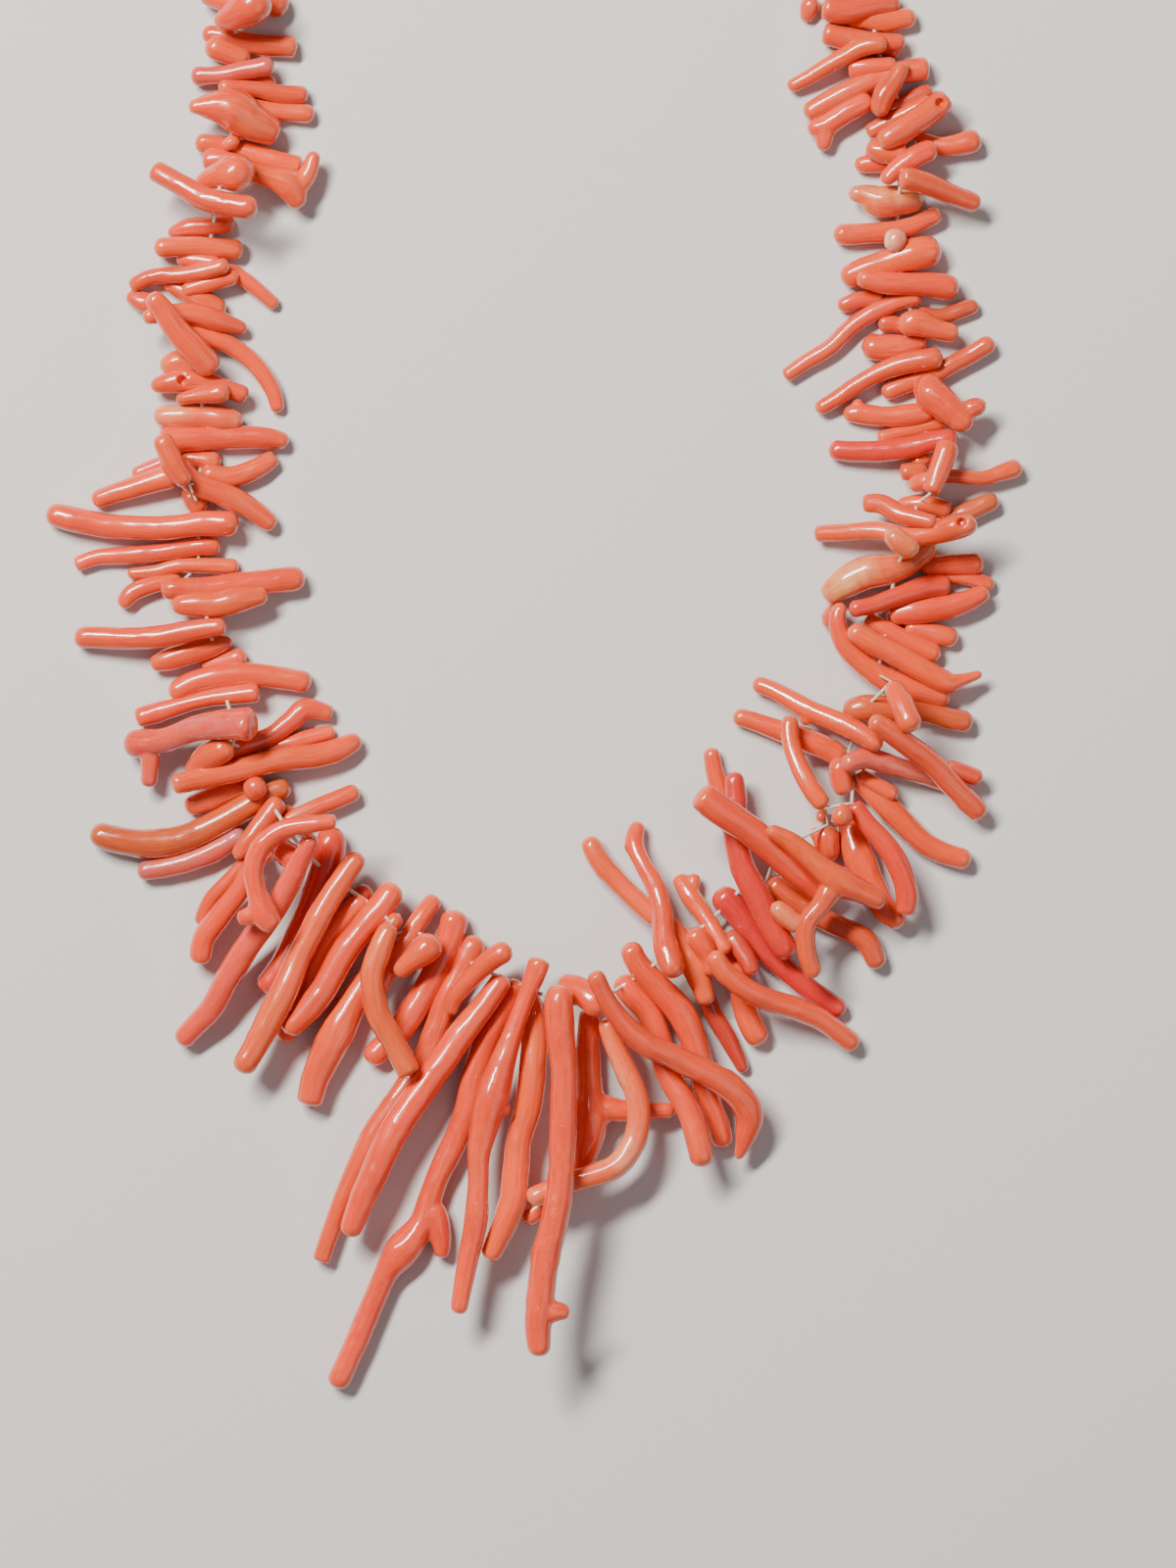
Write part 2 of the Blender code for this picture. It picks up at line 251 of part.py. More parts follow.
FRONT_TWIGS = {
    "front_twig_01": (3, [[(43.3, 95.3, 1.8), (40.0, 95.0, 2.2), (36.5, 94.2, 2.4), (33.8, 92.4, 2.6),
        (32.6, 89.5, 2.6), (33.0, 86.5, 2.6), (34.0, 83.5, 3.4), (35.5, 81.7, 2.6)], [(33.5, 84.0, 2.6),
        (31.8, 83.2, 2.2), (30.4, 82.9, 1.6)]]),
    "front_twig_02": (1, [[(34.0, 92.2, 1.6), (31.2, 90.2, 1.6), (28.8, 87.5, 1.9), (26.5, 85.0, 2.0),
        (25.2, 81.9, 1.8)]]),
    "front_twig_03": (2, [[(34.5, 91.5, 2.2), (32.0, 89.5, 2.2), (30.5, 86.5, 2.6), (28.0, 83.2, 2.9),
        (26.0, 80.3, 3.0), (25.3, 76.9, 2.6)]]),
    "front_twig_05": (2, [[(40.2, 93.6, 2.0), (38.3, 90.0, 2.6), (36.3, 86.0, 2.8), (34.0, 82.5, 3.0),
        (31.4, 79.0, 3.2), (29.0, 75.0, 3.2), (26.6, 71.0, 3.0), (22.6, 66.8, 2.8)]]),
    "front_twig_06": (0, [[(42.4, 94.6, 2.8), (42.0, 92.0, 4.0), (41.2, 88.5, 4.0), (39.8, 85.0, 3.6),
        (38.0, 81.0, 3.4), (36.0, 77.0, 3.4), (33.2, 73.4, 3.2)]]),
    "front_twig_07": (2, [[(46.0, 91.2, 2.6), (43.3, 87.3, 2.8), (40.8, 83.2, 3.0), (38.7, 79.2, 3.0),
        (37.0, 75.0, 3.4), (35.0, 71.0, 3.6), (33.0, 67.5, 3.2), (30.6, 63.2, 3.0)]]),
    "front_twig_08": (1, [[(46.6, 85.5, 2.2), (44.3, 83.5, 2.6), (42.0, 80.6, 2.6), (40.2, 76.8, 2.8),
        (38.4, 72.5, 2.8), (35.8, 66.9, 2.2)]]),
    "front_twig_10": (1, [[(50.6, 87.2, 3.2), (48.5, 84.4, 3.4), (46.0, 81.2, 3.3), (43.5, 77.8, 3.4),
        (41.5, 74.0, 3.4), (39.0, 71.0, 3.2), (36.3, 68.2, 2.6)]]),
    "front_twig_12": (1, [[(49.8, 80.6, 2.4), (47.2, 76.0, 2.6), (45.5, 73.0, 3.6), (43.6, 69.5, 4.4),
        (41.8, 66.0, 4.2), (40.2, 62.5, 3.6), (39.2, 58.8, 3.2)]]),
    "front_twig_13": (3, [[(50.0, 82.3, 2.2), (48.7, 79.5, 2.8), (47.6, 75.5, 3.0), (48.2, 71.0, 3.0),
        (50.0, 67.5, 3.0), (52.4, 62.9, 3.0)]]),
    "front_twig_14": (2, [[(55.7, 85.6, 2.2), (53.6, 82.9, 2.5), (51.6, 79.6, 2.3), (49.8, 76.6, 2.0),
        (48.4, 73.5, 1.6)]]),
    "front_twig_15": (2, [[(55.9, 80.4, 3.4), (54.0, 78.6, 3.6), (52.0, 77.0, 2.6), (50.4, 75.6, 1.8)]]),
    "front_twig_16": (1, [[(58.2, 83.9, 3.4), (57.2, 80.0, 3.4), (55.5, 76.0, 3.4), (53.2, 72.0, 3.4),
        (50.5, 68.0, 3.2), (46.7, 64.4, 3.0)]]),
    "front_twig_17": (1, [[(60.9, 80.5, 3.0), (59.2, 77.0, 3.2), (57.0, 73.0, 3.2), (55.6, 69.0, 3.2),
        (53.6, 64.0, 3.0), (50.5, 59.5, 3.0), (47.4, 55.0, 2.8), (45.0, 50.0, 2.6), (42.7, 44.5, 2.3),
        (40.7, 38.7, 2.2)]]),
    "front_twig_18": (2, [[(64.4, 75.6, 2.6), (62.0, 72.0, 3.0), (59.3, 68.7, 3.4), (56.8, 65.0, 3.5),
        (53.5, 60.5, 3.6), (50.5, 56.0, 3.7), (48.2, 51.5, 3.7), (46.2, 47.0, 3.4), (44.3, 42.2, 2.6)]]),
    "front_twig_19": (2, [[(65.3, 79.0, 2.8), (63.0, 77.9, 2.8), (60.5, 75.6, 2.4), (58.0, 72.8, 2.2),
        (57.4, 70.5, 1.6)]]),
    "front_twig_20": (1, [[(66.2, 75.0, 2.4), (64.0, 71.0, 2.8), (62.0, 67.0, 3.2), (60.6, 63.0, 3.3),
        (59.6, 58.5, 3.3), (58.0, 54.5, 3.2), (56.2, 50.5, 3.0), (54.9, 47.0, 3.0), (53.6, 43.6, 3.4),
        (51.2, 40.3, 4.4), (49.0, 37.0, 3.0), (47.2, 33.0, 2.9), (45.4, 28.8, 3.0),
        (42.6, 22.6, 3.0)], [(54.6, 46.5, 3.4), (55.8, 43.5, 3.0), (56.3, 41.0, 2.4), (56.2, 39.2, 1.6)]]),
    "front_twig_21": (2, [[(69.0, 77.9, 3.0), (67.6, 74.0, 2.4), (65.9, 69.5, 2.4), (64.3, 65.0, 3.2),
        (62.9, 60.5, 4.2), (61.8, 56.5, 3.6), (61.1, 52.5, 2.8), (61.0, 48.5, 2.7), (60.8, 45.0, 3.0),
        (60.2, 41.5, 2.7), (59.3, 37.5, 2.5), (58.5, 32.4, 2.2)], [(63.0, 60.0, 3.0), (64.9, 57.8, 1.2)]]),
    "front_twig_22": (1, [[(67.6, 73.6, 1.8), (68.0, 70.5, 3.0), (68.1, 66.5, 3.4), (67.8, 62.0, 3.5),
        (67.2, 58.0, 3.4), (66.2, 54.5, 3.2), (65.8, 50.5, 3.3), (65.5, 47.0, 3.4), (64.0, 43.0, 3.2),
        (62.2, 39.2, 2.4)]]),
    "front_twig_23": (3, [[(71.9, 74.5, 3.0), (71.3, 72.0, 3.7), (71.5, 68.0, 3.6), (71.9, 64.0, 3.4),
        (71.9, 59.0, 3.4), (71.8, 54.0, 3.4), (71.6, 50.0, 3.4), (70.8, 45.0, 3.6), (69.8, 40.8, 3.6),
        (69.0, 35.7, 3.5), (68.7, 31.8, 3.4), (68.8, 27.4, 2.8)], [(69.5, 33.0, 3.6), (71.0, 33.2, 2.6),
        (72.8, 33.0, 1.4)]]),
    "front_twig_24": (2, [[(71.3, 74.6, 2.4), (73.5, 74.0, 3.2), (75.5, 72.6, 3.4), (77.0, 70.8, 3.0)]]),
    "front_twig_25": (0, [[(75.2, 71.4, 2.4), (75.0, 68.0, 3.0), (75.0, 64.5, 3.0), (75.2, 61.0, 3.4),
        (75.2, 57.5, 4.8), (74.8, 54.0, 4.0), (73.5, 50.5, 3.2), (70.5, 47.0, 3.0),
        (66.6, 44.0, 2.2)], [(76.0, 58.8, 4.2), (79.0, 58.3, 2.9), (83.0, 58.2, 2.2), (86.2, 58.2, 2.0)]]),
    "front_twig_26": (1, [[(77.3, 70.3, 2.4), (78.2, 67.0, 2.7), (79.6, 63.8, 2.7), (81.0, 60.8, 2.8),
        (81.5, 57.5, 2.9), (80.8, 54.3, 3.0), (78.3, 51.3, 3.0), (74.5, 49.8, 2.8), (70.5, 48.5, 2.6),
        (67.3, 47.0, 2.5)]]),
    "front_twig_27": (3, [[(75.6, 76.3, 2.2), (77.2, 73.0, 2.3), (79.3, 69.9, 2.6), (82.5, 67.0, 3.0),
        (86.5, 65.0, 3.1), (90.5, 63.0, 3.3), (93.8, 60.8, 3.5), (95.6, 58.0, 3.6), (95.2, 55.0, 2.6),
        (94.1, 52.0, 0.9)]]),
    "front_twig_28": (1, [[(79.0, 75.4, 3.2), (80.5, 73.3, 3.4), (82.8, 70.5, 3.2), (84.0, 67.5, 3.0),
        (85.0, 63.5, 3.0), (87.0, 59.8, 3.0), (88.7, 56.0, 3.1), (89.7, 51.2, 3.0)]]),
    "front_twig_29": (1, [[(80.1, 79.8, 2.6), (81.5, 77.0, 3.0), (83.8, 74.3, 3.2), (86.5, 71.3, 3.6),
        (88.3, 68.0, 3.4), (89.3, 64.5, 3.2), (90.2, 60.5, 3.0), (91.6, 56.5, 2.9), (92.5, 53.4, 2.6)]]),
    "front_twig_30": (0, [[(87.0, 77.5, 2.0), (89.8, 73.5, 2.2), (91.2, 70.3, 2.3), (93.2, 67.0, 2.2),
        (95.1, 63.0, 1.6)]]),
    "front_twig_31": (0, [[(91.5, 79.5, 2.2), (94.3, 75.5, 2.6), (94.9, 72.0, 3.0), (95.9, 69.3, 3.1),
        (97.3, 66.6, 2.8)]]),
    "front_twig_32": (2, [[(74.9, 93.2, 2.4), (76.6, 90.0, 2.7), (79.3, 86.9, 2.6), (82.0, 84.4, 2.6),
        (84.8, 82.2, 2.6), (87.2, 79.5, 2.8), (88.8, 76.2, 3.2), (90.4, 71.8, 2.0)]]),
    "front_twig_33": (3, [[(81.6, 95.2, 1.8), (80.9, 92.6, 2.4), (82.0, 89.8, 2.2), (83.6, 86.8, 2.5),
        (84.4, 83.8, 2.6), (84.6, 80.6, 2.9), (85.3, 78.0, 3.3), (86.2, 75.4, 2.6)], [(81.2, 91.6, 2.2),
        (79.6, 92.4, 1.2)]]),
    "front_twig_34": (2, [[(86.4, 88.3, 1.8), (88.0, 85.8, 2.6), (89.8, 83.2, 2.2), (91.3, 80.8, 2.2),
        (92.8, 78.3, 2.0)], [(88.6, 88.6, 1.6), (88.4, 86.4, 2.0)]]),
    "front_twig_35": (3, [[(88.0, 81.6, 2.4), (89.3, 79.8, 2.8), (90.4, 77.8, 2.2), (90.6, 75.5, 1.6)]]),
    "front_twig_37": (3, [[(90.9, 78.8, 2.0), (92.2, 76.3, 2.5), (95.0, 74.0, 2.7), (98.5, 72.4, 2.8),
        (102.3, 71.0, 2.8), (105.5, 69.4, 2.7), (109.4, 66.3, 2.6)]]),
    "front_twig_38": (1, [[(91.3, 86.3, 3.2), (93.5, 84.2, 3.6), (96.0, 81.0, 3.4), (98.5, 78.0, 3.0),
        (101.5, 75.1, 2.8), (104.8, 72.6, 2.7), (108.0, 70.8, 2.2)]]),
    "front_twig_39": (2, [[(93.6, 101.6, 2.4), (93.9, 98.0, 2.8), (93.8, 94.0, 3.0), (94.4, 90.5, 3.2),
        (95.9, 86.8, 3.4), (97.9, 83.0, 3.4), (99.5, 80.0, 3.4), (101.0, 77.9, 2.8)]]),
    "front_twig_40": (1, [[(90.7, 104.7, 2.0), (91.1, 102.0, 2.2), (91.9, 99.0, 2.4), (92.8, 96.0, 2.2),
        (94.6, 91.0, 2.2)]]),
    "front_twig_41": (3, [[(88.9, 98.9, 3.4), (92.0, 96.6, 3.8), (95.5, 94.2, 3.7), (99.0, 91.2, 3.7),
        (102.3, 88.2, 3.5), (105.3, 85.6, 2.8)]]),
    "front_twig_42": (1, [[(97.8, 87.5, 3.0), (100.0, 86.2, 3.2), (102.8, 84.2, 3.2), (105.5, 82.6, 2.8),
        (108.3, 81.2, 2.8), (110.8, 79.6, 2.9), (112.3, 76.3, 2.6)]]),
    "front_twig_44": (4, [[(97.6, 94.4, 1.6), (100.8, 92.6, 2.6), (104.2, 89.7, 3.0), (107.0, 87.6, 3.6),
        (110.0, 86.2, 3.0), (113.0, 84.9, 2.6)], [(106.3, 87.2, 3.2), (104.6, 84.6, 2.6),
        (102.9, 82.3, 2.5), (102.7, 79.0, 2.4), (103.9, 75.3, 2.4)]]),
    "front_twig_45": (0, [[(108.2, 95.5, 2.4), (109.3, 91.5, 3.8), (111.0, 87.5, 3.8), (113.0, 84.2, 3.2),
        (115.4, 81.9, 2.4)]]),
    "front_twig_46": (2, [[(108.6, 97.5, 2.2), (110.8, 94.8, 2.4), (113.0, 92.3, 2.6), (114.8, 89.3, 2.8),
        (115.7, 86.0, 2.8), (115.3, 83.2, 2.4)]]),
    "front_twig_47": (1, [[(109.0, 101.0, 2.4), (112.2, 98.2, 3.0), (115.0, 95.5, 3.0), (118.0, 92.6, 2.9),
        (121.0, 91.0, 2.8), (124.1, 90.1, 2.6)]]),
    "front_twig_49": (2, [[(107.4, 102.3, 2.2), (110.5, 103.2, 2.6), (114.0, 102.4, 2.6),
        (117.5, 101.2, 2.3), (121.0, 99.8, 1.8)]]),
    "front_twig_50": (3, [[(110.8, 108.3, 2.0), (113.0, 106.8, 2.6), (116.0, 104.8, 2.8),
        (119.0, 102.4, 2.8), (121.6, 99.8, 2.9), (123.6, 97.8, 3.0), (125.6, 95.9, 2.8)]]),
    "front_twig_52": (2, [[(96.1, 113.0, 2.2), (99.0, 111.9, 2.3), (102.5, 110.0, 2.6), (106.0, 108.3, 2.7),
        (109.5, 106.6, 2.6), (112.5, 104.7, 2.2)], [(103.2, 109.2, 1.8), (102.6, 107.4, 1.2)]]),
    "front_twig_53": (1, [[(93.6, 108.9, 2.2), (97.5, 107.6, 2.5), (101.0, 106.4, 2.8), (104.5, 104.9, 3.0),
        (108.0, 103.3, 2.6)]]),
    "front_twig_54": (3, [[(100.7, 108.7, 2.2), (100.8, 105.5, 2.2), (101.8, 102.3, 2.3),
        (103.4, 99.4, 2.4), (105.2, 97.0, 2.2)]]),
    "front_twig_58": (2, [[(105.7, 94.8, 3.0), (105.6, 92.5, 3.3), (106.0, 90.0, 2.8)], [(105.0, 93.6, 2.0),
        (103.2, 93.7, 1.4)]]),
}
# Short chips of coral that lie against a front twig: how far above or below it, and the route.
CHIPS = {
    "front_twig_05": (-1.0, [[(35.2, 92.2, 2.6), (37.0, 91.0, 3.2), (38.0, 90.0, 2.4)]]),
    "front_twig_08": (-1.0, [[(47.2, 86.8, 2.4), (45.0, 84.8, 2.4), (43.0, 82.5, 2.2)]]),
    "front_twig_13": (-1.0, [[(51.0, 83.4, 1.8), (49.6, 81.6, 2.0), (48.5, 80.0, 1.6)]]),
    "front_twig_34": (-1.0, [[(92.6, 80.9, 2.2), (94.0, 79.6, 2.3), (95.4, 77.5, 2.2),
        (96.0, 75.5, 2.0)]]),
    "front_twig_44": (-1.0, [[(98.4, 84.8, 1.8), (100.2, 83.3, 2.6), (102.0, 81.6, 2.2)]]),
    "front_twig_47": (1.0, [[(109.5, 101.3, 2.0), (111.8, 100.0, 2.1), (114.6, 98.3, 2.0)]]),
    "front_twig_50": (-1.0, [[(120.5, 102.3, 2.0), (123.0, 101.4, 2.2), (125.4, 100.6, 2.2)]]),
    "front_twig_53": (1.0, [[(107.0, 103.5, 2.4), (107.3, 101.0, 2.8), (107.8, 98.5, 2.4)]]),
    "front_twig_54": (-1.0, [[(106.2, 96.6, 2.2), (107.2, 96.0, 2.8), (108.6, 95.4, 2.2)]]),
    "front_twig_58": (-1.0, [[(104.2, 96.3, 1.8), (105.6, 95.6, 2.0)]]),
}


def back_twigs():
    """Twigs of the hidden back, alternating inwards and outwards along the half circle."""
    dice = random.Random(11)
    count = int((math.pi * BACK_RADIUS - 2 * BACK_START) / BACK_PITCH)
    rows = []
    edge = BACK_START / BACK_RADIUS
    for index in range(count):
        angle = edge + (math.pi - 2 * edge) * (index + 0.5) / count
        out = Vector((math.cos(angle), math.sin(angle)))
        along = Vector((-out.y, out.x))
        side = 1 if index % 2 else -1
        aim = (out * side + along * dice.uniform(-BACK_TURN, BACK_TURN)).normalized()
        reach = dice.uniform(*BACK_REACH)
        tail = dice.uniform(*BACK_TAIL)
        bend = dice.uniform(-BACK_BEND, BACK_BEND)
        width = dice.uniform(*BACK_WIDTH)
        hole = Vector(BACK_CENTRE) + out * BACK_RADIUS
        cross = Vector((-aim.y, aim.x))
        start = hole - aim * tail
        middle = hole + aim * reach * BEND_PLACE + cross * bend
        end = hole + aim * reach
        low, high = (width * share for share in BACK_TAPER)
        route = [(start.x, start.y, low), (middle.x, middle.y, width), (end.x, end.y, high)]
        rows.append((index % 2, [route]))
    return rows


def thin(points):
    """The route without the points that a straight taper passes close enough to."""
    if len(points) < 3:
        return list(points)
    first, last = np.array(points[0]), np.array(points[-1])
    step = last[:2] - first[:2]
    strays = []
    for point in points:
        share = float(np.clip((np.array(point[:2]) - first[:2]) @ step / (step @ step), 0, 1))
        off = math.dist(point[:2], first[:2] + step * share)
        strays.append(off + abs(point[2] - first[2] - (last[2] - first[2]) * share) * WIDTH_WEIGHT)
    worst = int(np.argmax(strays[1:-1])) + 1
    if strays[worst] < ROUTE_SLACK:
        return [points[0], points[-1]]
    return thin(points[:worst + 1])[:-1] + thin(points[worst:])


def strand_length(point, line):
    """Distance along the line of its point nearest to the given one, and how far off that is."""
    best = (math.inf, 0.0)
    run = 0.0
    for low, high in zip(line, line[1:]):
        low, high = Vector(low), Vector(high)
        step = high - low
        share = min(1.0, max(0.0, (Vector(point) - low).dot(step) / step.length_squared))
        off = (low + step * share - Vector(point)).length
        best = min(best, (off, run + share * step.length))
        run += step.length
    return best[1], best[0]


def crossing(route, line):
    """Distance along the strand of the route's place nearest to it, and that place."""
    best = None
    for low, high in zip(route, route[1:]):
        for step in range(CROSSING_STEPS + 1):
            share = step / CROSSING_STEPS
            spot = [low[k] + (high[k] - low[k]) * share for k in range(3)]
            along, off = strand_length(spot[:2], line)
            if best is None or off < best[0]:
                best = (off, along, spot)
    return best[1:]


def cut_line(line, start, end):
    """Evenly spaced points of the line between two distances along it."""
    count = max(2, int(round((end - start) / CORE_STEP)) + 1)
    wanted = [start + (end - start) * k / (count - 1) for k in range(count)]
    points = []
    for target in wanted:
        run = 0.0
        for low, high in zip(line, line[1:]):
            length = math.dist(low, high)
            if run + length >= target - WELD or high == line[-1]:
                share = min(1.0, (target - run) / length)
                points.append(tuple(low[k] + (high[k] - low[k]) * share for k in (0, 1)))
                break
            run += length
    return points


def whole_length(line):
    return sum(math.dist(low, high) for low, high in zip(line, line[1:]))


def group_twigs():
    """Every twig with the node that holds it, and the core line of each cluster."""
    arc = [(BACK_CENTRE[0] + BACK_RADIUS * math.cos(math.pi * k / ARC_STEPS),
            BACK_CENTRE[1] + BACK_RADIUS * math.sin(math.pi * k / ARC_STEPS)) for k in range(ARC_STEPS + 1)]
    sides = {"left_sprigs": (LEFT_TWIGS, LEFT_STRAND), "right_sprigs": (RIGHT_TWIGS, RIGHT_STRAND),
             "back_sprigs": (back_twigs(), arc)}
    twigs = []
    for name, (layer, branches) in FRONT_TWIGS.items():
        rise, chip = CHIPS.get(name, (0.0, []))
        rises = [0.0] * len(branches) + [rise] * len(chip)
        twigs.append(dict(node=name, swell=0.0, layer=layer, rises=rises,
                          branches=[thin(branch) for branch in branches + chip]))
    cores = {}
    for side, (rows, line) in sides.items():
        share = whole_length(line) / SECTIONS[side]
        for index in range(SECTIONS[side]):
            start, end = index * share + CORE_INSET, (index + 1) * share - CORE_INSET
            cores[f"{side}_{index + 1}"] = cut_line(line, start, end)
        for layer, branches in rows:
            index = min(SECTIONS[side] - 1, int(crossing(branches[0], line)[0] / share))
            twigs.append(dict(node=f"{side}_{index + 1}", swell=SPRIG_SWELL, layer=layer,
                              rises=[0.0] * len(branches), branches=[thin(branch) for branch in branches]))
    return twigs, cores


def sample(route):
    """Points along a route as rows of x, y and radius."""
    rows = []
    for low, high in zip(route, route[1:]):
        count = max(1, int(math.ceil(math.dist(low[:2], high[:2]) / SAMPLE_STEP)))
        for k in range(count):
            rows.append([low[i] + (high[i] - low[i]) * k / count for i in range(3)])
    rows.append(list(route[-1]))
    rows = np.array(rows)
    rows[:, 2] *= 0.5
    return rows


def settle(twigs):
    """Lay the twigs on the table one after another, each resting on those already there."""
    placed = np.zeros((0, 4))
    owners = []
    for twig in sorted(twigs, key=lambda t: t["layer"]):
        main = twig["branches"][0]
        start, end = np.array(main[0][:2]), np.array(main[-1][:2])
        axis = (end - start) / np.linalg.norm(end - start)
        pieces = [sample(branch) for branch in twig["branches"]]
        rows = np.vstack(pieces)
        rises = np.concatenate([np.full(len(piece), rise) for piece, rise in zip(pieces, twig["rises"])])
        offsets = (rows[:, :2] - start) @ axis
        same = np.array([owner == twig["node"] for owner in owners], dtype=bool)
        swell = np.array([SPRIG_SWELL if "sprigs" in owner else 0.0 for owner in owners])
        gaps = np.where(same, SPRIG_CONTACT, NODE_GAP + swell + twig["swell"])
        heights = rows[:, 2].copy()
        for k, (x, y, radius) in enumerate(rows):
            reach = radius + placed[:, 3] + gaps
            flat = np.hypot(placed[:, 0] - x, placed[:, 1] - y)
            near = flat < reach
            if near.any():
                lift = placed[near, 2] + np.sqrt(reach[near] ** 2 - flat[near] ** 2)
                heights[k] = max(heights[k], lift.max())
        heights -= rises
        middle = offsets.mean()
        slopes = np.linspace(-STEEPEST, STEEPEST, LEANS)
        levels = np.array([(heights - slope * (offsets - middle)).max() + FLATNESS * abs(slope)
                           for slope in slopes])
        slope = slopes[levels.argmin()]
        base = (heights - slope * offsets).max()
        twig["slope"], twig["base"], twig["start"], twig["axis"] = slope, base, start, axis
        new = np.column_stack([rows[:, :2], base + slope * offsets + rises, rows[:, 2]])
        placed = np.vstack([placed, new])
        owners += [twig["node"]] * len(new)


def lifted(twig, point, rise=0.0):
    """A route point with its height, in millimetres on the board."""
    offset = (np.array(point[:2]) - twig["start"]) @ twig["axis"]
    return (point[0], point[1], twig["base"] + twig["slope"] * offset + rise, point[2] * 0.5)


def laid_routes(twig):
    """The twig's routes with their heights."""
    return [[lifted(twig, point, rise) for point in branch]
            for branch, rise in zip(twig["branches"], twig["rises"])]


def arm_route(twig, line, taken, number):
    """A cluster's arm: from one tip through the packed core to the other tip."""
    branch = twig["branches"][0]
    along, spot = crossing(branch, line)
    level = CORE_HEIGHT + ARM_STAGGER * (number % ARM_LEVELS - ARM_LEVELS // 2)
    inner = (*cut_line(line, along - HOLE_FEEL, along + HOLE_FEEL)[0], level, spot[2] * 0.5)
    halves = [[], []]
    for point in branch:
        side = (np.array(point[:2]) - np.array(spot[:2])) @ twig["axis"]
        halves[int(side > 0)].append(point)
    arm = [inner]
    for half, tip in ((halves[0], 0), (halves[1], -1)):
        if not half or math.dist(half[tip][:2], inner[:2]) < CORE_RADIUS + CORE_CLEAR:
            continue
        if any(math.dist(half[tip][:2], other) < TIP_MERGE for other in taken):
            continue
        taken.append(half[tip][:2])
        kept = [half[tip]]
        if math.dist(half[tip][:2], inner[:2]) > LONG_ARM and len(half) > 2:
            kept.insert(-1 if tip == 0 else 0, half[len(half) // 2])
            kept.sort(key=lambda point: -math.dist(point[:2], inner[:2]))
        outer = [lifted(twig, point) for point in kept]
        arm = outer + arm if tip == 0 else arm + outer[::-1]
    return arm


def board_to_part(point):
    return ((point[0] - BOARD_MIDDLE[0]) * MM, (point[1] - BOARD_MIDDLE[1]) * MM, point[2] * MM)


def outline(sides, collection):
    """A polygon of one millimetre radius, the cross-section of a tube."""
    curve = bpy.data.curves.new("outline", "CURVE")
    spline = curve.splines.new("POLY")
    spline.points.add(sides - 1)
    for k, knot in enumerate(spline.points):
        angle = 2 * math.pi * (k + 0.5) / sides - math.pi / 2
        knot.co = (math.cos(angle) * MM, math.sin(angle) * MM, 0.0, 1.0)
    spline.use_cyclic_u = True
    shape = bpy.data.objects.new("outline", curve)
    collection.objects.link(shape)
    return shape


def tube(name, points, sides, collection, swell=0.0, fullness=1.0, closed=False):
    """A tapered tube through the points, as a welded mesh object."""
    shape = outline(sides, collection)
    curve = bpy.data.curves.new(name, "CURVE")
    curve.dimensions = "3D"
    curve.bevel_mode = "OBJECT"
    curve.bevel_object = shape
    curve.use_fill_caps = not closed
    spline = curve.splines.new("POLY")
    spline.points.add(len(points) - 1)
    for knot, point in zip(spline.points, points):
        knot.co = (*board_to_part(point), 1.0)
        knot.radius = (point[3] + swell) * fullness
    spline.use_cyclic_u = closed
    guide = bpy.data.objects.new(name + "_curve", curve)
    collection.objects.link(guide)
    bpy.context.view_layer.update()
    solid = as_mesh(guide, name, collection)
    bpy.data.objects.remove(shape)
    form = bmesh.new()
    form.from_mesh(solid.data)
    bmesh.ops.remove_doubles(form, verts=form.verts, dist=WELD)
    bmesh.ops.recalc_face_normals(form, faces=form.faces)
    form.to_mesh(solid.data)
    form.free()
    return solid


def as_mesh(source, name, collection):
    """The evaluated object as a mesh object of its own; the source is removed."""
    graph = bpy.context.evaluated_depsgraph_get()
    mesh = bpy.data.meshes.new_from_object(source.evaluated_get(graph))
    mesh.name = name
    place = source.matrix_world.copy()
    bpy.data.objects.remove(source)
    solid = bpy.data.objects.new(name, mesh)
    solid.matrix_world = place
    collection.objects.link(solid)
    return solid


def closed_volume(mesh):
    """The volume inside a closed mesh, or zero where an edge hasn't exactly two faces."""
    form = bmesh.new()
    form.from_mesh(mesh)
    bmesh.ops.remove_doubles(form, verts=form.verts, dist=WELD)
    whole = all(len(edge.link_faces) == 2 for edge in form.edges)
    volume = form.calc_volume(signed=True) if whole else 0.0
    form.free()
    return volume


def clean(mesh):
    """Weld the mesh and drop what has no size, so that the next Boolean gets a sound body."""
    form = bmesh.new()
    form.from_mesh(mesh)
    bmesh.ops.remove_doubles(form, verts=form.verts, dist=WELD)
    bmesh.ops.dissolve_degenerate(form, dist=WELD, edges=form.edges)
    form.to_mesh(mesh)
    form.free()


def combine(body, tools, operation, collection):
    """Union with or difference by the tools one by one; a tool that fails is nudged and tried again."""
    for tool in tools:
        clean(body.data)
        before = closed_volume(body.data)
        for attempt in range(NUDGES):
            tool.location = Vector((1, -0.7, 0.6)) * NUDGE * attempt * (-1) ** attempt
            step = body.modifiers.new("step", "BOOLEAN")
            step.operation = operation
            step.object = tool
            step.solver = "EXACT"
            step.use_self = step.use_hole_tolerant = attempt % 2 == 1
            bpy.context.view_layer.update()
            graph = bpy.context.evaluated_depsgraph_get()
            mesh = bpy.data.meshes.new_from_object(body.evaluated_get(graph))
            body.modifiers.remove(step)
            volume = closed_volume(mesh)
            if operation == "UNION":
                sound = volume > before * (1 - VOLUME_SLACK)
            else:
                sound = before * (1 + VOLUME_SLACK) > volume > before * MOST_CUT
            if sound:
                body.data = mesh
                break
        else:
            print(f"{body.name}: a step was left out", tool.name, operation, round(volume / before, 3))
        bpy.data.objects.remove(tool)
    return body


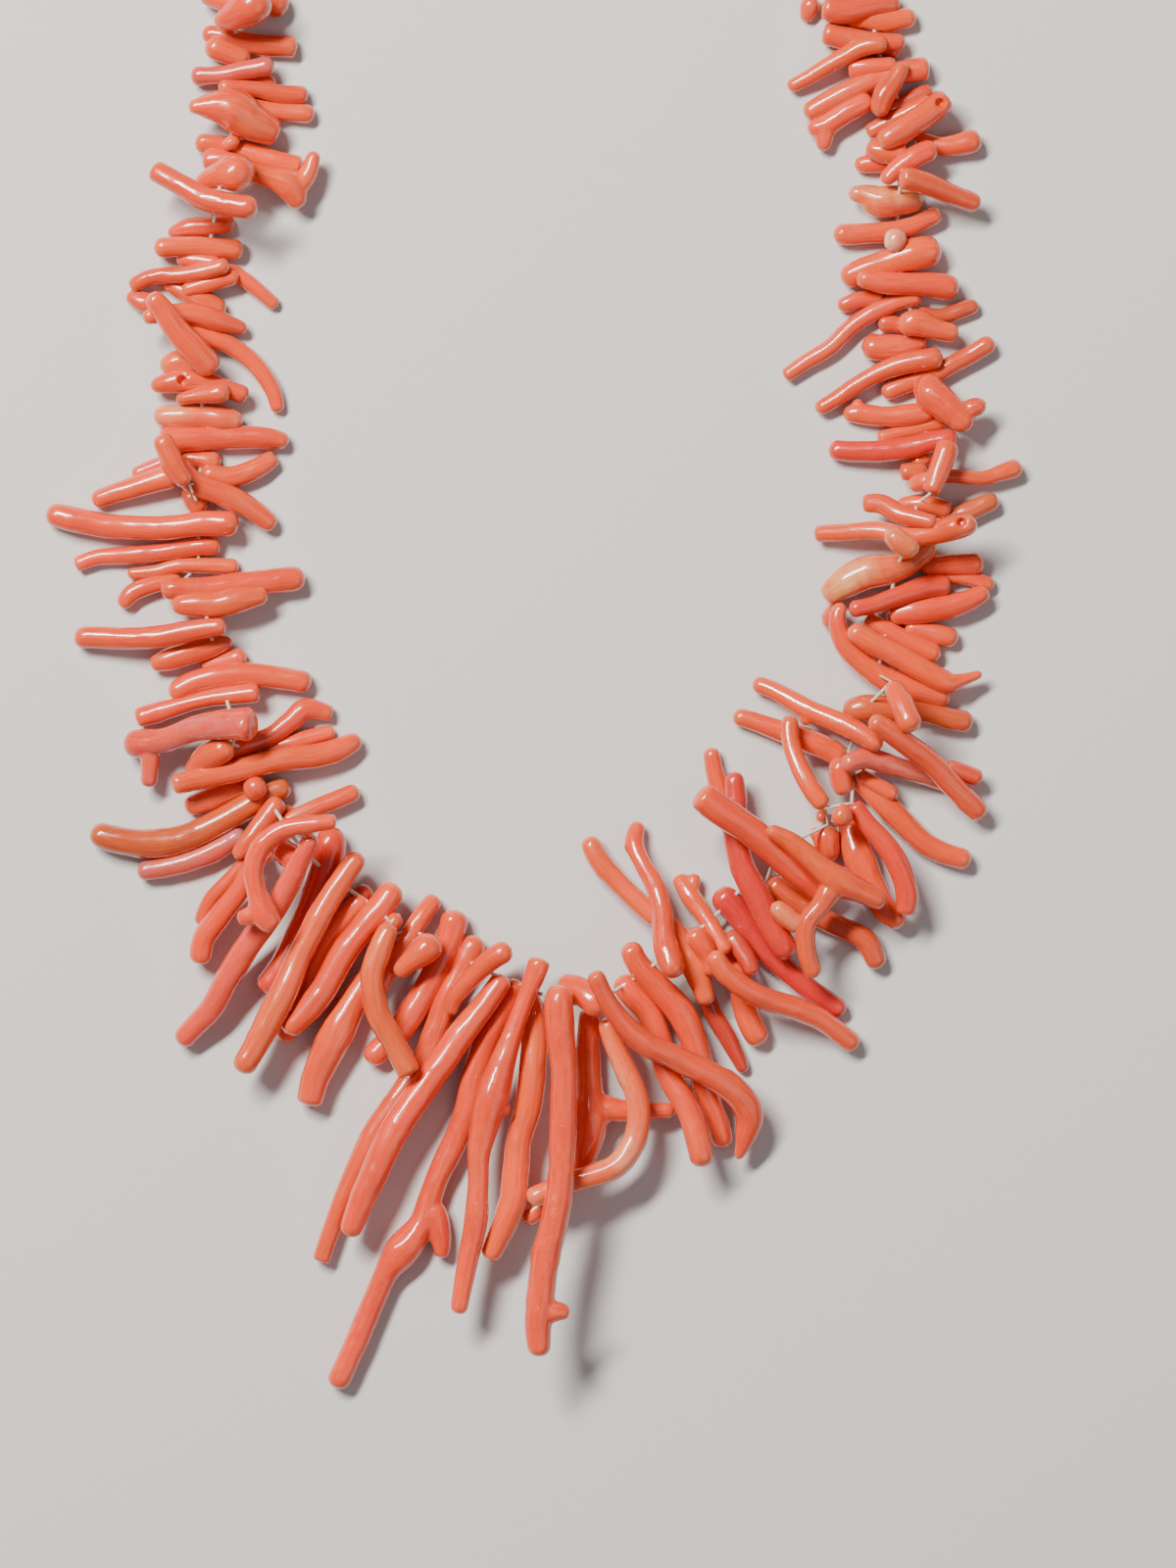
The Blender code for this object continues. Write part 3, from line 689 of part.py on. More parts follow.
def trim_flat(solid):
    """Cut the solid off at the table, which gives it flat faces to rest on."""
    form = bmesh.new()
    form.from_mesh(solid.data)
    geometry = form.verts[:] + form.edges[:] + form.faces[:]
    bmesh.ops.bisect_plane(form, geom=geometry, dist=ON_TABLE, plane_co=(0, 0, 0), plane_no=(0, 0, -1),
                           clear_outer=True)
    bmesh.ops.holes_fill(form, edges=[edge for edge in form.edges if edge.is_boundary], sides=0)
    form.to_mesh(solid.data)
    form.free()


def keep_largest(solid):
    """Drop crumbs that a hole leaves behind."""
    form = bmesh.new()
    form.from_mesh(solid.data)
    form.verts.ensure_lookup_table()
    unseen = set(form.verts)
    islands = []
    while unseen:
        island, waiting = set(), [next(iter(unseen))]
        while waiting:
            vertex = waiting.pop()
            if vertex in island:
                continue
            island.add(vertex)
            waiting += [edge.other_vert(vertex) for edge in vertex.link_edges]
        unseen -= island
        islands.append(island)
    islands.sort(key=lambda island: sum(face.calc_area() for face in form.faces if face.verts[0] in island),
                 reverse=True)
    for island in islands[1:]:
        print(f"{solid.name}: dropped an island of {len(island)} points")
        bmesh.ops.delete(form, geom=list(island), context="VERTS")
    form.to_mesh(solid.data)
    form.free()


def finish_material(name, colour, roughness):
    material = bpy.data.materials.new(name)
    material.use_nodes = True
    shader = material.node_tree.nodes["Principled BSDF"]
    shader.inputs["Base Color"].default_value = (*colour, 1.0)
    shader.inputs["Roughness"].default_value = roughness
    return material


def thread_route(twigs, cores):
    """The silk thread: straight through the packed cores, and hole to hole across the front."""
    def through(core):
        return [(x, y, CORE_HEIGHT, THREAD_RADIUS) for x, y in core]

    left, right, back = ([p for k in range(count) for p in through(cores[f"{side}_{k + 1}"])]
                         for side, count in SECTIONS.items())
    holes = []
    for twig in twigs:
        if "sprigs" in twig["node"]:
            continue
        along, spot = crossing(twig["branches"][0], FRONT_STRAND)
        holes.append((along, lifted(twig, spot)[:3]))
    holes.sort()
    front = [(*spot, THREAD_RADIUS) for along, spot in holes]
    return left, front, right, back


def dense(route):
    """The route with points at most a millimetre apart."""
    rows = []
    for low, high in zip(route, route[1:]):
        count = max(1, int(math.dist(low[:3], high[:3])))
        rows += [[low[i] + (high[i] - low[i]) * k / count for i in range(4)] for k in range(count)]
    return np.array(rows + [list(route[-1])])


def too_close(first, second):
    """Whether two tapered tubes come nearer than the gap between pieces."""
    first, second = dense(first), dense(second)
    away = np.linalg.norm(first[:, None, :3] - second[None, :, :3], axis=2)
    return bool((away < first[:, None, 3] + second[None, :, 3] + 2 * SPRIG_SWELL + NODE_GAP).any())


def stretched(route, extra):
    """The route made longer at both ends."""
    route = list(route)
    for end, inner in ((0, 1), (-1, -2)):
        tip, near = np.array(route[end]), np.array(route[inner])
        step = (tip[:3] - near[:3]) / np.linalg.norm(tip[:3] - near[:3])
        route[end] = (*(tip[:3] + step * extra), tip[3])
    return route


def near_steps(routes, path):
    """The straight steps of the thread's path that come near the routes."""
    spots = np.vstack([dense(route) for route in routes])
    steps = []
    for low, high in zip(path, path[1:]):
        start, step = np.array(low[:3]), np.array(high[:3]) - np.array(low[:3])
        share = np.clip((spots[:, :3] - start) @ step / (step @ step), 0, 1)
        away = np.linalg.norm(spots[:, :3] - (start + share[:, None] * step), axis=1)
        if (away < spots[:, 3] + HOLE_RADIUS * DRILL_REACH).any():
            steps.append((low[:3] + (HOLE_RADIUS,), high[:3] + (HOLE_RADIUS,)))
    return steps


def carved(body, routes, path, collection):
    """The body with the thread's holes drilled where the path comes near the routes."""
    drills = [tube("drill", stretched(step, HOLE_RADIUS), HOLE_SIDES, collection)
              for step in near_steps(routes, path)]
    return combine(body, drills, "DIFFERENCE", collection)


def finish(body, material):
    keep_largest(body)
    body.data.materials.clear()
    body.data.materials.append(material)


def front_twig(twig, path, collection):
    """One long twig of the front with its forks, drilled for the thread."""
    routes = laid_routes(twig)
    bodies = [tube(f"{twig['node']}_{number}", route, TWIG_SIDES, collection)
              for number, route in enumerate(routes)]
    bodies[0].name = twig["node"]
    body = combine(bodies[0], bodies[1:], "UNION", collection)
    return carved(body, routes, path, collection)


def cluster_routes(node, twigs, line):
    """The arms of one cluster, as routes with heights."""
    routes, taken = [], []
    own = [twig for twig in twigs if twig["node"] == node]
    for twig in sorted(own, key=lambda t: -math.dist(t["branches"][0][0][:2], t["branches"][0][-1][:2])):
        routes.append(arm_route(twig, line, taken, len(routes)))
        routes += [[lifted(twig, point) for point in (branch[0], branch[-1])]
                   for branch in twig["branches"][1:]]
    return [route for route in routes if len(route) > 1]


def stout(routes):
    """Arm routes as wide as their corners stand out."""
    return [[point[:3] + ((point[3] + SPRIG_SWELL) * CORNER_REACH - SPRIG_SWELL,) for point in route]
            for route in routes]


def notched(body, others, own, collection):
    """The body cut free of the other pieces that come too close to its own routes."""
    for other in others:
        if any(too_close(other, route) for route in own):
            notch = tube("notch", stretched(other, NODE_GAP), TWIG_SIDES, collection,
                         NODE_GAP + SPRIG_SWELL, NOTCH_FULLNESS)
            body = combine(body, [notch], "DIFFERENCE", collection)
    return body


def main():
    for thing in list(bpy.data.objects):
        bpy.data.objects.remove(thing)
    parts = bpy.data.collections.new("red_coral_necklace")
    bpy.context.scene.collection.children.link(parts)
    coral = finish_material("coral", CORAL, CORAL_ROUGHNESS)
    silk = finish_material("silk", SILK, SILK_ROUGHNESS)
    twigs, cores = group_twigs()
    settle(twigs)
    left, front, right, back = thread_route(twigs, cores)
    path = [left[-1]] + front + [right[0]]
    laid = []
    for twig in twigs:
        if twig["node"] in FRONT_TWIGS:
            finish(front_twig(twig, path, parts), coral)
            laid += laid_routes(twig)
    arms = {node: cluster_routes(node, twigs, line) for node, line in cores.items()}
    waiting = {node: stout(routes) for node, routes in arms.items()}
    for node, line in cores.items():
        spine = [(x, y, CORE_HEIGHT, CORE_RADIUS) for x, y in line]
        later = [route for other, routes in waiting.items() if other != node for route in routes]
        core = notched(tube(node, spine, TWIG_SIDES, parts), later, [spine], parts)
        limbs = [tube(f"{node}_arm", route, ARM_SIDES, parts, SPRIG_SWELL, ARM_FULLNESS)
                 for route in arms[node]]
        core = combine(core, limbs, "UNION", parts)
        core = notched(core, laid, arms[node] + [spine], parts)
        laid += waiting.pop(node)
        reach = [tuple(end[k] + (end[k] - inner[k]) * BORE_OVERRUN for k in (0, 1))
                 for end, inner in ((line[0], line[1]), (line[-1], line[-2]))]
        bore = [(x, y, CORE_HEIGHT, BORE_RADIUS) for x, y in [reach[0]] + line[1:-1] + [reach[1]]]
        core = combine(core, [tube("drill", bore, HOLE_SIDES, parts)], "DIFFERENCE", parts)
        core = carved(core, arms[node], path[:-1] if node.startswith("left") else path[1:], parts)
        trim_flat(core)
        finish(core, coral)
    thread = tube("silk_thread", left + front + right + back, ARM_SIDES, parts, closed=True)
    finish(thread, silk)
    triangles = sum(len(face.vertices) - 2 for thing in parts.objects for face in thing.data.polygons)
    print("pieces", len(parts.objects), "triangles", triangles)


main()
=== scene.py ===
import math
import random

import bmesh
import bpy
import numpy as np
from mathutils import Matrix, Vector, kdtree, noise


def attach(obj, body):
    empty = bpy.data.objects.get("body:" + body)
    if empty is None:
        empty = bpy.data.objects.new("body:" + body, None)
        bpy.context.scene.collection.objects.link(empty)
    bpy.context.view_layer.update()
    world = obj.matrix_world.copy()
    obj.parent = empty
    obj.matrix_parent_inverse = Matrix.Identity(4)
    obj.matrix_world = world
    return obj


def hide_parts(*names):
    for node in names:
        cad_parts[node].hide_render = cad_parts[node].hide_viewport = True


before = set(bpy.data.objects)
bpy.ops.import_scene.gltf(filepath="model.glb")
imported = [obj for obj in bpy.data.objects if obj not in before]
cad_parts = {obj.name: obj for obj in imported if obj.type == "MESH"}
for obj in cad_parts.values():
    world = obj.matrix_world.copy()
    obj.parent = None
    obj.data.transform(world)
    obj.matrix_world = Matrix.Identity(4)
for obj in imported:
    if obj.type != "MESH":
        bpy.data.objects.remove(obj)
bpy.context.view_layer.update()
mm = 0.001

# Red coral branch necklace: every twig is grown along its own route, on the strand that the frame holds.
# Routes are in millimetres on a stringing board, x to the right and y up the strand.
strand = {
    "boardMiddle": (68.17, 135.92),  # board point over the frame's origin
    "threadRadius": 0.25,
    "threadReach": 2.5,  # a twig further off the strand isn't threaded
    "crossSteps": 8,  # places tried between two route points
    "sections": {"left_sprigs": 4, "right_sprigs": 4, "back_sprigs": 3},
}
pile = {
    "nodeGap": 0.2,  # clear distance between separate solids
    "sprigSwell": 0.15,
    "sprigContact": -0.6,  # twigs of one cluster nest into each other
    "sampleStep": 0.8,
    "steepest": 0.4,  # lean of a twig, rise over run
    "leans": 41,  # leans tried for each twig
    "flatness": 0.5,  # higher keeps twigs flatter
    "routeSlack": 0.75,  # how far a settled line may stray from its twig
}

leftStrand = [(30.5, 201), (29.5, 192), (29.8, 184), (28, 176), (26.5, 168), (26, 160), (25.8, 152),
    (25.5, 144), (25, 136), (25.2, 128), (26.5, 120), (28.5, 112), (31, 104), (34, 97.5)]
frontStrand = [(37.5, 92.5), (42, 88.5), (47, 84.5), (52, 81.5), (57, 79), (62, 76.3), (67, 74), (72, 72.6),
    (77, 73), (81.5, 75.5), (86, 79.2), (90.3, 82.4), (94, 86), (97.5, 89.8), (102.5, 93.8), (106.5, 98.3),
    (109, 103.2)]
rightStrand = [(110, 109), (112, 114), (113, 120), (114, 126), (116, 132), (118, 139), (118.3, 146),
    (117, 152), (115.5, 158), (115, 164), (114.5, 170), (114.8, 176), (115.5, 182), (114.6, 188),
    (112, 194), (110.5, 201)]

# Each twig: tint, layer in the pile, then one route per branch as (x, y, diameter) points.
leftTwigs = [
    ("coral", 1, [(25.5, 201.3, 2.4), (29.5, 200, 3), (33, 200.6, 2.6)]),
    ("coral", 0, [(31, 201.5, 3.2), (36.6, 199.3, 3.4)]),
    ("coral", 2, [(27.4, 197, 1.8), (29.5, 197.8, 3.4), (31.8, 198.8, 4.6), (34.4, 200, 4.2)]),
    ("coral", 1, [(25.5, 196.3, 2), (28.5, 195.8, 2.6), (32, 194.8, 2.7), (37.8, 194.4, 2.6)]),
    ("coral", 2, [(26, 194.8, 2.6), (28.5, 193.9, 3), (31.8, 193, 2.4)]),
    ("pink", 2, [(24.1, 190.7, 2.6), (27.5, 190.8, 2.2), (31, 191.4, 2.3), (34.9, 192, 2.6)]),
    ("coral", 1, [(27.6, 189.4, 2), (32, 189, 2), (36, 188.4, 2.3), (39.2, 188.4, 2.2)]),
    ("coral", 0, [(30, 190, 1.8), (35, 189.9, 1.8)]),
    ("coral", 2, [(24.1, 186.3, 1.2), (26.5, 186.4, 3.2), (29.5, 186.2, 5.2), (32, 184.6, 4.6),
     (35.4, 183.2, 3)]),
    ("coral", 1, [(29.5, 187.3, 2.4), (34, 186.3, 2.4), (40, 185.8, 2.4)]),
    ("coral", 1, [(24.6, 182.2, 2.6), (28, 181.9, 2.4), (31, 181, 2.6), (34.5, 180, 2.7),
     (38.4, 179.2, 2.4)]),
    ("coral", 2, [(28.9, 182.8, 2.6), (30, 181.2, 2.4)]),
    ("coral", 1, [(25.6, 180, 2.6), (28, 179.9, 2.8), (30.5, 179.3, 2.4)]),
    ("coral", 2, [(25, 176.6, 1.4), (27.5, 177.3, 3.2), (30, 177.8, 4.8), (32.4, 177.4, 3.6)]),
    ("coral", 1, [(30.5, 178.5, 2.4), (34, 177.6, 2.6), (37, 176.4, 3.8),
     (38, 173.5, 1.8)], [(37.5, 176.2, 3.2), (39.2, 178, 2.4), (40.1, 181, 1.6)]),
    ("coral", 2, [(19.5, 178.4, 2.5), (23, 176.3, 2.8), (26.5, 174.4, 3), (30, 173.5, 2.9),
     (33.1, 173.1, 2.8)]),
    ("coral", 1, [(21.1, 170.5, 1.2), (23.5, 171.3, 2.2), (26, 171.5, 2.4), (29.8, 171.9, 2.5)]),
    ("coral", 2, [(19.4, 168.6, 2.6), (25, 168.8, 2.5), (30.9, 168.4, 2.6)]),
    ("coral", 1, [(22.2, 167.4, 1.7), (24.5, 167.1, 2.2), (28, 166.5, 1.8)]),
    ("coral", 2, [(16.3, 163.6, 1.8), (19, 164.9, 2), (23, 165.1, 2), (26, 165.6, 2.1), (29.2, 166.4, 2)]),
    ("coral", 2, [(23, 163.2, 1.8), (26, 163.9, 2), (30.3, 165.1, 2)]),
    ("coral", 1, [(20.6, 164.6, 1.8), (23.5, 162.9, 2.6), (26, 161.8, 2.8), (28.5, 160.4, 2.4)]),
    ("coral", 0, [(15.9, 162.9, 1.4), (18, 161.8, 2.6), (21, 160.9, 2.4)]),
    ("coral", 0, [(28.5, 166.2, 2), (31.5, 164.2, 1.9), (35.2, 161.2, 1.6)]),
    ("coral", 3, [(19.2, 162.4, 2.2), (20.8, 160.6, 2.8), (22.6, 157.8, 3.2), (25, 155.2, 3.4),
     (27.4, 152.6, 3)]),
    ("coral", 2, [(18.2, 159.4, 1.8), (23, 160.2, 2.4), (27.5, 159.3, 2.7), (31.3, 158.2, 1.4)]),
    ("coral", 1, [(22.5, 160, 2.6), (26, 157.5, 2.6), (29.5, 156, 2.3), (32.5, 153.6, 2.2),
     (34.5, 150.5, 2), (35.3, 147.6, 1.8)]),
    ("pale", 1, [(20.2, 153.2, 2), (22.5, 154, 3), (25.5, 153.4, 2.6)]),
    ("coral", 2, [(19, 150.8, 1.4), (22, 151.5, 2.9), (25, 151.5, 2.8), (28, 150.8, 2.4),
     (31.6, 149.7, 2.2)]),
    ("coral", 3, [(22.3, 149.1, 1.4), (25, 149.6, 2), (27.5, 149.9, 2.6), (29.3, 150, 2.4)]),
    ("pale", 2, [(19.3, 147.2, 2.4), (22.5, 147.1, 3.2), (26, 147, 3.2), (28.5, 146.7, 3.2),
     (30.8, 146.4, 1.8)]),
    ("coral", 1, [(20, 143.9, 3.4), (25, 144.3, 3), (30, 144.4, 2.9), (33.5, 144.4, 2.8),
     (36.7, 143.8, 2)]),
    ("coral", 2, [(22.8, 141.9, 1.8), (25.5, 141.5, 2.2), (28, 141.5, 2.2)]),
    ("coral", 1, [(25.3, 140, 2.2), (29, 139.3, 2.8), (32.5, 140.4, 2.6), (35.1, 142, 2)]),
    ("coral", 3, [(20.6, 144.6, 2.4), (21.4, 142.5, 2.6), (22.3, 140.4, 2.8), (24.2, 138.1, 2)]),
    ("coral", 2, [(22.5, 141, 2.8), (24.5, 138.6, 2.8), (28, 137.2, 2.9), (31.5, 135.6, 2.8),
     (34.8, 132.8, 2.2)]),
    ("orange", 1, [(23.8, 138.3, 2), (24.5, 136.4, 2.8), (26, 134.9, 2.6)]),
    ("coral", 1, [(11.4, 136.2, 2.2), (14.5, 137.3, 2.5), (18, 138.4, 2.9), (22.5, 139.6, 3.4)]),
    ("pink", 0, [(16.5, 139.6, 1.6), (21.5, 141.6, 2)]),
    ("coral", 2, [(5.6, 134.9, 2.6), (9, 133.9, 3.2), (14, 133.1, 3), (20, 132.7, 3), (26, 133.3, 3.1),
     (30.4, 133.2, 3)]),
    ("coral", 1, [(9.2, 128, 1.8), (12, 129, 2), (16, 129.3, 2.2), (21, 129.8, 2.2), (25, 130.4, 2.3),
     (28, 130.5, 2.2)]),
    ("coral", 2, [(15.9, 127, 1.4), (19.5, 127.2, 1.7), (22.5, 128, 1.9), (26, 128, 2),
     (30.3, 127.8, 1.9)]),
    ("coral", 1, [(15.2, 122.6, 1.8), (16.6, 124.6, 2.4), (19.5, 125.6, 2.2), (23, 126, 2)]),
    ("coral", 1, [(20.3, 124.9, 2.8), (25, 125, 2.8), (30, 125.4, 3), (34.5, 126, 3.1),
     (38.8, 126.3, 3.2)]),
    ("coral", 2, [(21.7, 123.1, 2), (24, 122.9, 3), (27.5, 123, 3.4), (31, 123.8, 3.4), (34.2, 124.2, 2)]),
    ("coral", 2, [(9.2, 118.8, 2.8), (14, 118.6, 2.8), (19, 118.7, 2.9), (24, 119.5, 2.6),
     (28.9, 120.2, 2)]),
    ("coral", 2, [(18.9, 115.3, 1.6), (21, 115.9, 2.8), (24.5, 117, 3), (27.5, 117.8, 2.4),
     (29.5, 118.2, 1.2)]),
    ("coral", 2, [(25.4, 115.2, 1.2), (28, 115.7, 1.9), (30, 116.2, 2.4), (31.3, 116.5, 2.4)]),
    ("coral", 1, [(21.4, 111.3, 2.6), (24.5, 113, 3), (29, 113.9, 3.2), (34, 113.8, 3),
     (39.6, 112.9, 2.8)]),
    ("coral", 2, [(17, 108.4, 2.4), (20, 109.2, 2.6), (24, 110.3, 2.2), (28, 111.2, 2.3),
     (33.1, 111.7, 2.6)]),
    ("purple", 2, [(15.7, 105.3, 3.4), (18, 105.2, 3.6), (21, 105.6, 3.2), (25, 107, 3.2), (29, 107.6, 3.8),
     (32.8, 107.5, 4.2)], [(19, 104.6, 3), (19, 102.5, 2.4), (18.7, 99.5, 2.2)]),
    ("coral", 1, [(28.2, 103.6, 2.6), (31, 104.9, 2.8), (34.5, 106.2, 2.4), (37, 108, 2.6),
     (39, 109.6, 2.6), (42.3, 108.9, 1.8)]),
    ("coral", 0, [(33, 104.3, 2), (38, 105.6, 2.2), (42.6, 106.8, 1.6)]),
    ("coral", 2, [(21.9, 99.8, 2.6), (25, 100.6, 2.7), (30, 101.6, 2.8), (35, 103, 3), (40, 103.6, 3),
     (43.5, 104.6, 2.8), (45.9, 105.9, 2.2)]),
    ("coral", 1, [(23.8, 101.2, 1.6), (26.5, 103.4, 3.4), (29.8, 105, 3)]),
    ("coral", 1, [(23.3, 96.9, 2.4), (26, 98, 2.8), (29, 99.2, 2.7), (33.5, 100.8, 2.4)]),
    ("coral", 2, [(31.2, 98.7, 3), (33.8, 100.2, 2.8)]),
    ("brown", 1, [(11.4, 94.2, 2.6), (14, 93, 3.4), (18, 92.4, 3.6), (22, 92.7, 3.6), (26, 94.2, 3.4),
     (30, 96.4, 3.3), (33.5, 98.5, 3), (36.9, 99.8, 2.6)]),
    ("purple", 1, [(17.2, 88.8, 2.4), (21, 89.3, 2.6), (25, 90.4, 2.9), (28.5, 92.2, 2.6), (31, 94, 2)]),
    ("coral", 2, [(35.7, 98.2, 2.4), (34, 95.8, 2.6), (32, 93.3, 2.4), (29.9, 90.5, 1.6)]),
    ("brown", 0, [(33, 93, 2.2), (37.3, 97, 2.2)]),
    ("coral", 0, [(36, 95, 2), (40, 96.9, 2.2), (45.7, 99.2, 2.4)]),
]
